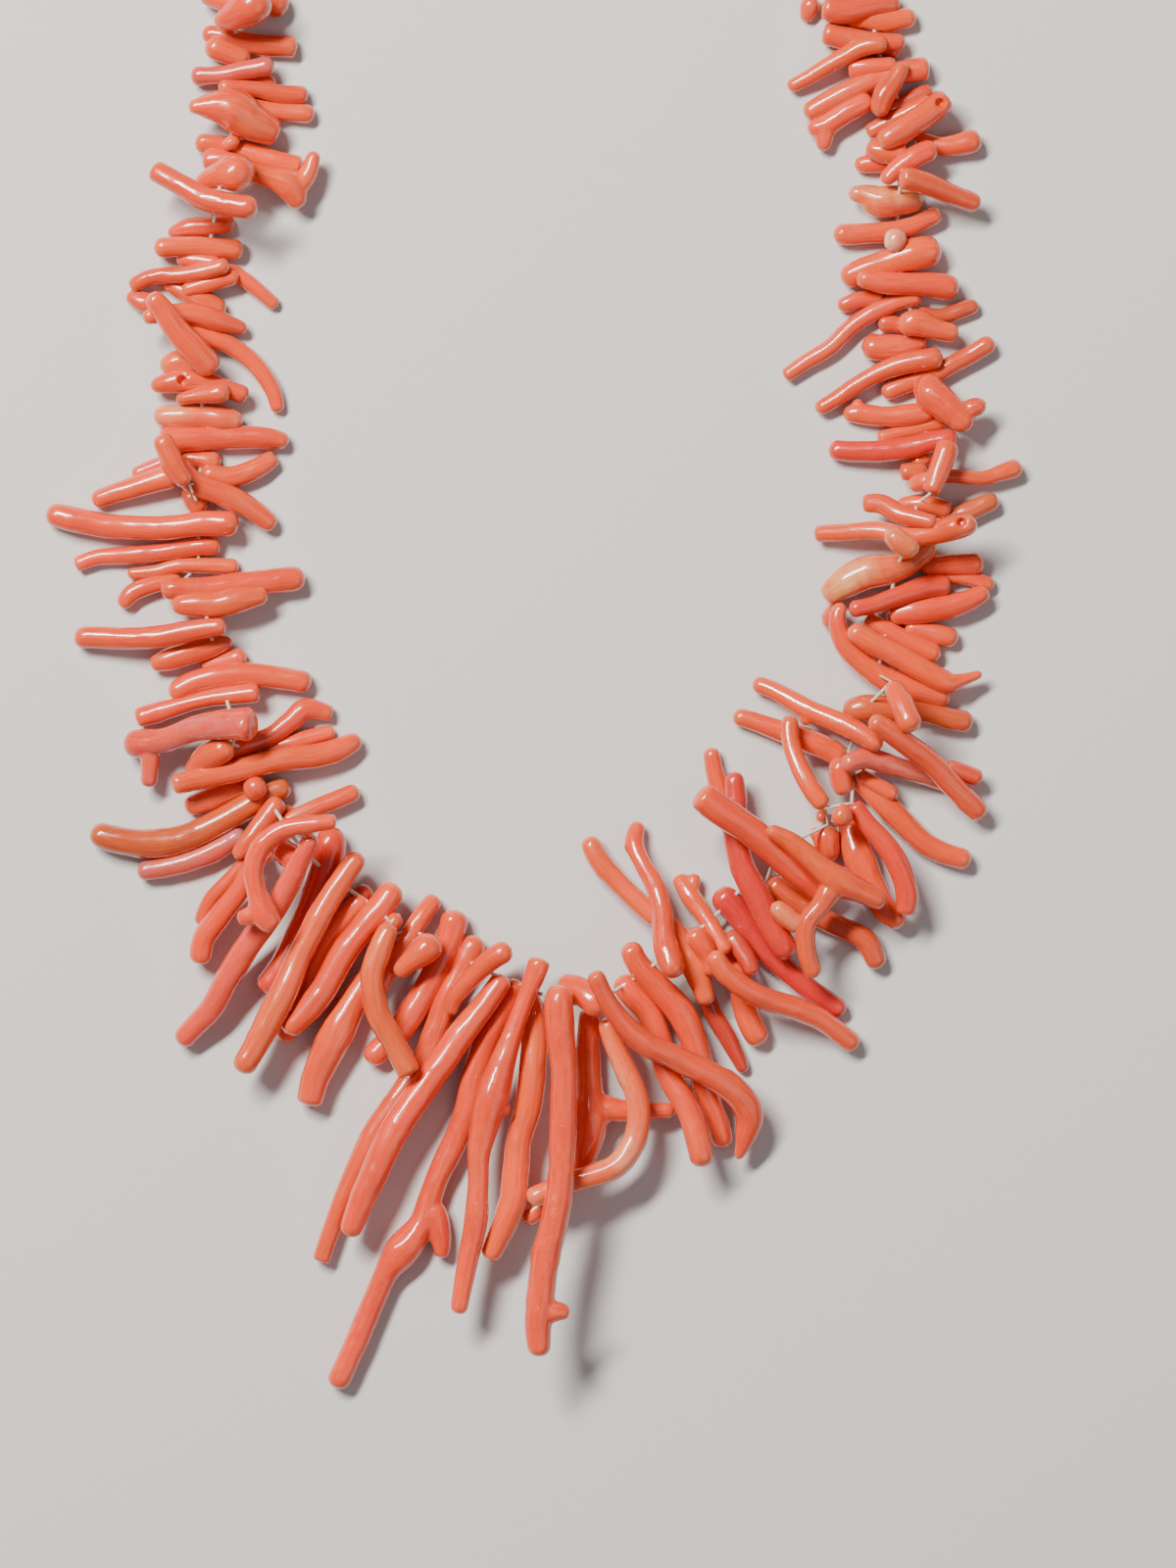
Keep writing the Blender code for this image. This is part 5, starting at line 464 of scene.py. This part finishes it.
def groupTwigs():
    # every twig with the frame's node that stands for it
    centre, radius, steps = backRow["centre"], backRow["radius"], backRow["arcSteps"]
    arc = [(centre[0] + radius * math.cos(a), centre[1] + radius * math.sin(a))
           for a in [math.pi * k / steps for k in range(steps + 1)]]
    sides = {"left_sprigs": (leftTwigs, leftStrand), "right_sprigs": (rightTwigs, rightStrand),
             "back_sprigs": (backTwigs(), arc)}
    twigs = []
    for number, (tint, layer, *branches) in frontTwigs.items():
        rise, chipTint, *chip = chips.get(number, (0.0, tint))
        twigs.append(dict(node=f"front_twig_{number:02}", tint=tint, layer=layer, branches=branches,
                          line=frontStrand, rise=rise, chipTint=chipTint, chip=chip))
    for side, (rows, line) in sides.items():
        sections = strand["sections"][side]
        share = sum(math.dist(low, high) for low, high in zip(line, line[1:])) / sections
        for tint, layer, *branches in rows:
            section = min(sections - 1, int(crossing(branches[0], line)[1] / share)) + 1
            twigs.append(dict(node=f"{side}_{section}", tint=tint, layer=layer, branches=branches,
                              line=line, rise=0.0, chipTint=tint, chip=[]))
    return twigs


def sampleRoute(route, step):
    # points along a route as rows of x, y and radius
    rows = []
    for low, high in zip(route, route[1:]):
        count = max(1, int(math.ceil(math.dist(low[:2], high[:2]) / step)))
        for k in range(count):
            rows.append([low[i] + (high[i] - low[i]) * k / count for i in range(3)])
    rows.append(list(route[-1]))
    rows = np.array(rows, dtype=float)
    rows[:, 2] *= 0.5
    return rows


def swellOf(node):
    return pile["sprigSwell"] if "sprigs" in node else 0.0


def settle(twigs):
    # lay the twigs on the table one after another, each resting on those already there, as the frame's are
    placed = np.zeros((0, 4))
    owners = []
    slopes = np.linspace(-pile["steepest"], pile["steepest"], pile["leans"])
    for twig in sorted(twigs, key=lambda t: t["layer"]):
        main = twig["branches"][0]
        start, end = np.array(main[0][:2]), np.array(main[-1][:2])
        axis = (end - start) / np.linalg.norm(end - start)
        pieces = [sampleRoute(thin(branch), pile["sampleStep"]) for branch in twig["branches"] + twig["chip"]]
        rows = np.vstack(pieces)
        rises = np.concatenate([np.full(len(piece), twig["rise"] if k >= len(twig["branches"]) else 0.0)
                                for k, piece in enumerate(pieces)])
        offsets = (rows[:, :2] - start) @ axis
        same = np.array([owner == twig["node"] for owner in owners], dtype=bool)
        swells = np.array([swellOf(owner) for owner in owners])
        gaps = np.where(same, pile["sprigContact"], pile["nodeGap"] + swells + swellOf(twig["node"]))
        heights = rows[:, 2].copy()
        for k, (x, y, radius) in enumerate(rows):
            reach = radius + placed[:, 3] + gaps
            flat = np.hypot(placed[:, 0] - x, placed[:, 1] - y)
            near = flat < reach
            if near.any():
                lift = placed[near, 2] + np.sqrt(reach[near] ** 2 - flat[near] ** 2)
                heights[k] = max(heights[k], lift.max())
        heights -= rises
        middle = offsets.mean()
        levels = np.array([(heights - slope * (offsets - middle)).max() + pile["flatness"] * abs(slope)
                           for slope in slopes])
        slope = slopes[levels.argmin()]
        base = (heights - slope * offsets).max()
        twig["slope"], twig["base"], twig["start"], twig["axis"] = slope, base, start, axis
        levelled = np.column_stack([rows[:, :2], base + slope * offsets + rises, rows[:, 2]])
        placed = np.vstack([placed, levelled])
        owners += [twig["node"]] * len(rows)


def lifted(twig, point, rise=0.0):
    # a route point with its height and radius, in millimetres on the board
    offset = (np.array(point[:2]) - twig["start"]) @ twig["axis"]
    return (point[0], point[1], twig["base"] + twig["slope"] * offset + rise, point[2] * 0.5)


def toFrame(point):
    middle = strand["boardMiddle"]
    return Vector(((point[0] - middle[0]) * mm, (point[1] - middle[1]) * mm, point[2] * mm))


print("pile: settling the twigs")
twigs = groupTwigs()
settle(twigs)


def addObject(name, data):
    thing = bpy.data.objects.new(name, data)
    bpy.context.scene.collection.objects.link(thing)
    return thing


def meshOf(form, name):
    # the form as a mesh, and the form freed
    mesh = bpy.data.meshes.new(name)
    form.to_mesh(mesh)
    form.free()
    return mesh


def joinForms(forms):
    whole = bmesh.new()
    for form in forms:
        mesh = meshOf(form, "twig")
        whole.from_mesh(mesh)
        bpy.data.meshes.remove(mesh)
    return whole


# Lengths are in mm and swellings in shares of the radius. Each kind of swelling also has its waves round
# the twig and along it, and what a twig's seed shifts it by.
growth = {
    "ringStep": 0.4,
    "sides": 18,
    "radiusShare": 1.04,
    "least": 0.05,  # smallest radius of a ring
    "lump": (0.09, 0.7, 0.22, 3.1),  # slow swellings
    "knob": (0.14, 1.5, 0.6, 5.3),  # small knobs
    "flute": (0.012, 4.5, 0.12, 7.7),  # fine grooves along the twig
    "wander": 0.12,  # sideways
    "wanderPace": 0.2,
    "wanderEase": 3.0,  # none at the ends
    "dome": (1.0, 2.15),  # length of a rounded tip as a share of the radius, and its bluntness
    "cut": (0.6, 2.5),  # the same for a tip that was cut off and polished
    "cutRarity": 0.2,  # higher makes fewer cut tips
    "meltVoxel": 0.2,  # forks flow together
    "meltSmooth": 5,
    "seeds": {"twig": 1.618, "branch": 0.37, "chip": 0.71},
    "grainShift": 40,  # between the grain of one twig and the next
}


def surfaceNoise(around, across, along, shift):
    # smooth noise over a twig's skin, from its place round and along the twig
    return noise.noise(Vector((around.x * across, around.y * across, around.z * along + shift)))


def smoothRoute(points, step):
    # even points on a curve through the route's points, as x, y, z and radius
    last = len(points) - 1
    line = []
    for k in range(last):
        before, low, high, after = (np.array(points[max(0, k - 1)]), np.array(points[k]),
                                    np.array(points[k + 1]), np.array(points[min(last, k + 2)]))
        count = max(2, int(math.dist(low[:3], high[:3]) / step))
        for n in range(count):
            t = n / count
            line.append(0.5 * (2 * low + (high - before) * t
                               + (2 * before - 5 * low + 4 * high - after) * t * t
                               + (3 * low - before - 3 * high + after) * t ** 3))
    line.append(np.array(points[-1]))
    return line


def ringPlaces(route, seed):
    # where each ring of a twig goes: its middle, its radius and how far along the twig it is
    line = smoothRoute(route, growth["ringStep"])
    reach = [0.0]
    for low, high in zip(line, line[1:]):
        reach.append(reach[-1] + math.dist(low[:3], high[:3]))
    total = reach[-1]
    tips = []
    for place, end in ((0.3, line[0]), (5.1, line[-1])):
        kind = "cut" if noise.noise(Vector((seed * 1.3, place, 2.0))) > growth["cutRarity"] else "dome"
        tips.append((end[3] * growth[kind][0], growth[kind][1]))
    rings = []
    for point, run in zip(line, reach):
        radius = point[3] * growth["radiusShare"]
        for (length, power), gone in zip(tips, (run, total - run)):
            if gone < length:
                radius *= max(0.0, 1 - (1 - gone / length) ** power) ** (1 / power)
        sway = Vector([noise.noise(Vector((run * growth["wanderPace"], seed, place)))
                       for place in (0.3, 7.9)] + [0])
        ease = min(1.0, run / growth["wanderEase"], (total - run) / growth["wanderEase"])
        middle = toFrame(point) + sway * growth["wander"] * ease * mm
        rings.append((middle, max(radius, growth["least"]) * mm, run))
    return rings


def growTwig(route, seed):
    # one tapered, slightly irregular tube with rounded ends, ring by ring
    rings = ringPlaces(route, seed)
    spots, reach = [ring[0] for ring in rings], [ring[2] for ring in rings]
    form = bmesh.new()
    grain = form.verts.layers.float_vector.new("grain")
    side = growth["sides"]
    frameNow = None
    previous = None
    for k, (spot, radius, run) in enumerate(rings):
        aim = (spots[min(k + 1, len(spots) - 1)] - spots[max(k - 1, 0)]).normalized()
        if frameNow is None:
            turn = Vector((0, 0, 1)).rotation_difference(aim)
        else:
            turn = frameNow.to_3x3().col[2].rotation_difference(aim) @ frameNow.to_quaternion()
        frameNow = Matrix.LocRotScale(spot, turn, None)
        place = frameNow @ Matrix.Diagonal((radius, radius, 1, 1))
        if previous is None:
            ring = bmesh.ops.create_circle(form, segments=side, radius=1.0, matrix=place)["verts"]
            for n, vertex in enumerate(ring):
                angle = 2 * math.pi * n / side
                vertex[grain] = Vector((math.cos(angle), math.sin(angle), 0))
            edges = form.edges[:]
        else:
            made = bmesh.ops.extrude_edge_only(form, edges=edges)["geom"]
            ring = [item for item in made if isinstance(item, bmesh.types.BMVert)]
            edges = [item for item in made if isinstance(item, bmesh.types.BMEdge)
                     and item.verts[0] in ring and item.verts[1] in ring]
            bmesh.ops.transform(form, matrix=place @ previous.inverted(), verts=ring)
            for vertex in ring:
                vertex[grain].z = run
        previous = place
    bmesh.ops.holes_fill(form, edges=[edge for edge in form.edges if edge.is_boundary], sides=0)
    for vertex in form.verts:
        around = vertex[grain]
        centre = spots[min(int(np.searchsorted(reach, around.z - 1e-4)), len(spots) - 1)]
        grow = 1
        for kind in ("lump", "knob", "flute"):
            share, across, along, shift = growth[kind]
            value = surfaceNoise(around, across, along, seed * shift)
            grow += share * (max(0.0, value) ** 2 if kind == "knob" else value)
        vertex.co = centre + (vertex.co - centre) * grow
        vertex.co.z = max(vertex.co.z, 0.0)
    for vertex in form.verts:
        vertex[grain].z += seed * growth["grainShift"]
    bmesh.ops.recalc_face_normals(form, faces=form.faces)
    return form


def fuseForks(forms):
    # a fork's branches melt into one another: voxel remesh, with the grain carried over
    joined = joinForms(forms)
    grain = joined.verts.layers.float_vector["grain"]
    tree = kdtree.KDTree(len(joined.verts))
    values = []
    for index, vertex in enumerate(joined.verts):
        tree.insert(vertex.co, index)
        values.append(vertex[grain].copy())
    tree.balance()
    carrier = addObject("fork", meshOf(joined, "fork"))
    remesh = carrier.modifiers.new("melt", "REMESH")
    remesh.mode = "VOXEL"
    remesh.voxel_size = growth["meltVoxel"] * mm
    bpy.context.view_layer.update()
    melted = bpy.data.meshes.new_from_object(carrier.evaluated_get(bpy.context.evaluated_depsgraph_get()))
    bpy.data.objects.remove(carrier)
    fused = bmesh.new()
    fused.from_mesh(melted)
    for _ in range(growth["meltSmooth"]):
        bmesh.ops.smooth_vert(fused, verts=fused.verts, factor=0.5,
                              use_axis_x=True, use_axis_y=True, use_axis_z=True)
    grain = fused.verts.layers.float_vector.get("grain") or fused.verts.layers.float_vector.new("grain")
    for vertex in fused.verts:
        vertex[grain] = values[tree.find(vertex.co)[1]]
    return fused


# Open drill holes that face up: board places, then half width, depth and rim in mm.
openHoles = {
    "places": [(23.1, 151.6), (122.4, 133.2), (119.9, 186.9)],
    "radius": 0.5,
    "depth": 1.2,
    "rim": 0.2,
    "onTop": 0.8,  # a twig is under a place nearer to its line than this share of its radius
    "searchStep": 0.4,
    "fineReach": 2.2,  # how far round the hole the skin is made finer, in half widths
    "fineRounds": 2,
}


def topAt(twig, place):
    # height of the twig's upper side over a board place, below the table where it doesn't reach
    best = -1.0
    for branch in twig["branches"]:
        for x, y, radius in sampleRoute(branch, openHoles["searchStep"]):
            off = math.dist((x, y), place)
            if off < radius * openHoles["onTop"]:
                best = max(best, lifted(twig, (x, y, radius * 2))[2] + math.sqrt(radius ** 2 - off ** 2))
    return best


for place in openHoles["places"]:
    owner = max(twigs, key=lambda twig: topAt(twig, place))
    owner.setdefault("openHoles", []).append(place)
    print("open hole at", place, "on", owner["node"])


def sinkHole(form, place):
    # subdivide the upper side round the place, then press a round hole into it
    centre = toFrame((*place, 0.0))
    radius, depth, rim = [openHoles[name] * mm for name in ("radius", "depth", "rim")]

    def off(vertex):
        return math.hypot(vertex.co.x - centre.x, vertex.co.y - centre.y)

    top = max(vertex.co.z for vertex in form.verts if off(vertex) < radius * 2)
    for _ in range(openHoles["fineRounds"]):
        edges = [edge for edge in form.edges if all(off(v) < radius * openHoles["fineReach"]
                                                    and v.co.z > top - depth for v in edge.verts)]
        bmesh.ops.subdivide_edges(form, edges=edges, cuts=1, use_grid_fill=True)
    for vertex in form.verts:
        if off(vertex) < radius + rim and vertex.co.z > top - depth:
            share = min(1.0, max(0.0, (radius + rim - off(vertex)) / (2 * rim)))
            vertex.co.z -= depth * share * share * (3 - 2 * share)


tinting = {
    "strength": (0.9, 1.06),  # each twig's own share of its body colour
    "warmth": (0.8, 1.15),  # and of the green in it
    "cloud": (0.5, 0.13, 3.7),  # waves of the patches round and along a twig, and a shift
    "speck": (2.2, 1.1, 0.0),
    "cloudShare": 1.6,
    "speckShare": 0.5,
    "amountShare": 1.3,
    "bareShare": 0.55,  # higher leaves more of the body colour
    "mostShare": 1.6,
    "paleEnd": 1.6,  # mm
    "paleShare": 0.45,
    "drift": 0.16,  # slow change of strength along a twig
    "driftPace": 0.12,
}


def tintTwig(form, tint, seed):
    # the twig's own colour, with its patches and slightly paler ends
    layer = form.verts.layers.float_color.new("tint")
    grain = form.verts.layers.float_vector["grain"]
    dice = random.Random(int(seed * 17) + 5)
    body, patch, amount = tints[tint]
    body = Vector(body) * dice.uniform(*tinting["strength"])
    body.y *= dice.uniform(*tinting["warmth"])
    patch = Vector(patch)
    shift = seed * growth["grainShift"]
    length = max(vertex[grain].z for vertex in form.verts) - shift
    bare = tinting["bareShare"]
    for vertex in form.verts:
        around = vertex[grain]
        inward = min(around.z - shift, length - around.z + shift)
        cloud = surfaceNoise(around, *tinting["cloud"]) * tinting["cloudShare"]
        speck = surfaceNoise(around, *tinting["speck"]) * tinting["speckShare"]
        share = min(1.0, max(0.0, cloud + speck + amount * tinting["amountShare"] - bare))
        share *= min(1.0, amount * tinting["mostShare"])
        if inward < tinting["paleEnd"]:
            share = max(share, tinting["paleShare"] * (1 - inward / tinting["paleEnd"]))
        drift = noise.noise(Vector((around.z * tinting["driftPace"], seed, 1.0)))
        vertex[layer] = (*(body.lerp(patch, share) * (1 + tinting["drift"] * drift)), 1.0)


def inputsOf(node, **values):
    for name, value in values.items():
        node.inputs[name].default_value = value
    return node


def addNode(nodes, kind, **values):
    return inputsOf(nodes.new("ShaderNode" + kind), **values)


def addRamp(nodes, stops):
    ramp = addNode(nodes, "ValToRGB")
    for element, (position, colour) in zip(ramp.color_ramp.elements, stops):
        element.position = position
        element.color = colour
    return ramp


def startMaterial(name, **values):
    material = bpy.data.materials.new(name)
    material.use_nodes = True
    nodes = material.node_tree.nodes
    return material, nodes, inputsOf(nodes["Principled BSDF"], **values)


def wire(source, output, node, name):
    node.id_data.links.new(source.outputs[output], node.inputs[name])


# Polished coral: a clear skin over streaks that run along the twig.
coralLook = {
    "shader": {"IOR": 1.5, "Coat Weight": 1.0, "Coat Roughness": 0.02, "Specular IOR Level": 0.3,
               "Subsurface Weight": 0.1, "Subsurface Radius": (1.0, 0.25, 0.1), "Subsurface Scale": 0.001},
    "stretch": {"Scale": (3.2, 3.2, 0.16)},
    "streaks": {"Scale": 2.4, "Detail": 4.0, "Roughness": 0.6},
    "shade": ((0.3, (0.78, 0.62, 0.60, 1)), (0.72, (1.08, 1.14, 1.16, 1))),
    "shadeShare": 0.75,
    "clouds": {"Scale": 420.0, "Detail": 3.0, "Roughness": 0.55},
    "gloss": {"From Min": 0.35, "From Max": 0.7, "To Min": 0.14, "To Max": 0.30},
    "bump": {"Strength": 0.35, "Distance": 0.00012},
}
silkLook = {
    "fibres": {"Scale": 2500.0, "Detail": 2.0},
    "shade": ((0.0, (0.42, 0.30, 0.22, 1)), (1.0, (0.86, 0.74, 0.62, 1))),
}


def coralMaterial():
    material, nodes, shader = startMaterial("polishedCoral", **coralLook["shader"])
    tint, grain = addNode(nodes, "Attribute"), addNode(nodes, "Attribute")
    tint.attribute_name = "tint"
    grain.attribute_name = "grain"
    stretch = addNode(nodes, "Mapping", **coralLook["stretch"])
    wire(grain, "Vector", stretch, "Vector")
    streaks = addNode(nodes, "TexNoise", **coralLook["streaks"])
    wire(stretch, "Vector", streaks, "Vector")
    shade = addRamp(nodes, coralLook["shade"])
    wire(streaks, "Fac", shade, "Fac")
    mix = addNode(nodes, "Mix")
    mix.data_type = "RGBA"
    mix.blend_type = "MULTIPLY"
    mix.inputs["Factor"].default_value = coralLook["shadeShare"]
    wire(tint, "Color", mix, "A")
    wire(shade, "Color", mix, "B")
    wire(mix, "Result", shader, "Base Color")
    place = addNode(nodes, "TexCoord")
    clouds = addNode(nodes, "TexNoise", **coralLook["clouds"])
    wire(place, "Object", clouds, "Vector")
    gloss = addNode(nodes, "MapRange", **coralLook["gloss"])
    wire(clouds, "Fac", gloss, "Value")
    wire(gloss, "Result", shader, "Roughness")
    bump = addNode(nodes, "Bump", **coralLook["bump"])
    wire(streaks, "Fac", bump, "Height")
    wire(bump, "Normal", shader, "Normal")
    return material


def silkMaterial():
    material, nodes, shader = startMaterial("twistedSilk", Roughness=0.75)
    place = addNode(nodes, "TexCoord")
    fibres = addNode(nodes, "TexNoise", **silkLook["fibres"])
    wire(place, "Object", fibres, "Vector")
    shade = addRamp(nodes, silkLook["shade"])
    wire(fibres, "Fac", shade, "Fac")
    wire(shade, "Color", shader, "Base Color")
    return material


def growWhole(twig, seed):
    # a twig's forms, tinted: its branches in one, then the chip that lies against it
    seeds = growth["seeds"]
    forms = [growTwig([lifted(twig, point) for point in branch], seed + number * seeds["branch"])
             for number, branch in enumerate(twig["branches"])]
    whole = [forms[0] if len(forms) == 1 else fuseForks(forms)]
    for place in twig.get("openHoles", []):
        sinkHole(whole[0], place)
    tintTwig(whole[0], twig["tint"], seed)
    for branch in twig["chip"]:
        chip = growTwig([lifted(twig, point, twig["rise"]) for point in branch], seed + seeds["chip"])
        tintTwig(chip, twig["chipTint"], seed + seeds["chip"])
        whole.append(chip)
    return whole


print("twigs: growing")
coral = coralMaterial()
groups = {}
for number, twig in enumerate(twigs):
    groups.setdefault(twig["node"], []).extend(growWhole(twig, number * growth["seeds"]["twig"] + 1))
for node, forms in groups.items():
    name = node.replace("front_twig", "polished_twig").replace("sprigs", "twigs")
    mesh = meshOf(joinForms(forms), name)
    mesh.materials.append(coral)
    for face in mesh.polygons:
        face.use_smooth = True
    piece = addObject(name, mesh)
    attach(piece, "root")
    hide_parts(node)

print("thread")


def holesAlong(line, twigsThere):
    # where the thread goes through the twigs, in their order along the strand
    holes = []
    for twig in twigsThere:
        off, along, spot = crossing(twig["branches"][0], line)
        if off < strand["threadReach"]:
            holes.append((along, lifted(twig, spot)[:3]))
    return [hole[1] for hole in sorted(holes)]


loop = []
for side in ("left_sprigs", "front_twig", "right_sprigs", "back_sprigs"):
    there = [twig for twig in twigs if twig["node"].startswith(side)]
    loop += holesAlong(there[0]["line"], there)
curve = bpy.data.curves.new("thread", "CURVE")
curve.dimensions = "3D"
curve.bevel_depth = strand["threadRadius"] * mm
curve.bevel_resolution = 2
spline = curve.splines.new("POLY")
spline.points.add(len(loop) - 1)
for knot, point in zip(spline.points, loop):
    knot.co = (*toFrame(point), 1.0)
spline.use_cyclic_u = True
curve.materials.append(silkMaterial())
thread = addObject("twisted_thread", curve)
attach(thread, "root")
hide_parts("silk_thread")

print("studio")
studio = {
    "viewHeight": 0.80,  # m from the table to the camera
    "viewCentre": (75.0, 100.0),  # board point in the middle of the picture
    "viewRise": 5.0,  # mm over the table that the view is measured at
    "viewSpan": 200.0,  # mm of the board from bottom to top of the picture
    "floorSize": 3.0,
    "paper": {"Base Color": (0.66, 0.65, 0.635, 1), "Roughness": 0.6},
    "world": {"Color": (0.94, 0.95, 1.0, 1), "Strength": 0.2},
    # lamps: place, size, power and colour
    "keyPanel": ((-0.40, 0.42, 0.80), (0.46, 0.13), 21.0, (1.0, 0.965, 0.91)),
    "fillPanel": ((0.7, -0.3, 0.8), (0.9, 0.9), 1.6, (0.95, 0.97, 1.0)),
}
target = toFrame((*studio["viewCentre"], studio["viewRise"]))
camera = addObject("camera", bpy.data.cameras.new("camera"))
camera.location = (target.x, target.y, studio["viewHeight"])
camera.data.sensor_fit = "VERTICAL"
camera.data.angle = 2 * math.atan(studio["viewSpan"] * mm / 2 / (studio["viewHeight"] - target.z))
camera.data.clip_end = 20
bpy.context.scene.camera = camera

form = bmesh.new()
bmesh.ops.create_grid(form, x_segments=1, y_segments=1, size=studio["floorSize"])
floor = addObject("floor", meshOf(form, "floor"))
floor.data.materials.append(startMaterial("paleFloor", **studio["paper"])[0])

for name in ("keyPanel", "fillPanel"):
    place, size, power, colour = studio[name]
    light = bpy.data.lights.new(name, "AREA")
    light.shape = "RECTANGLE"
    light.size, light.size_y = size
    light.energy = power
    light.color = colour
    lamp = addObject(name, light)
    lamp.location = place
    lamp.rotation_euler = (target - Vector(place)).to_track_quat("-Z", "Y").to_euler()
world = bpy.data.worlds.new("softWorld")
world.use_nodes = True
inputsOf(world.node_tree.nodes["Background"], **studio["world"])
bpy.context.scene.world = world
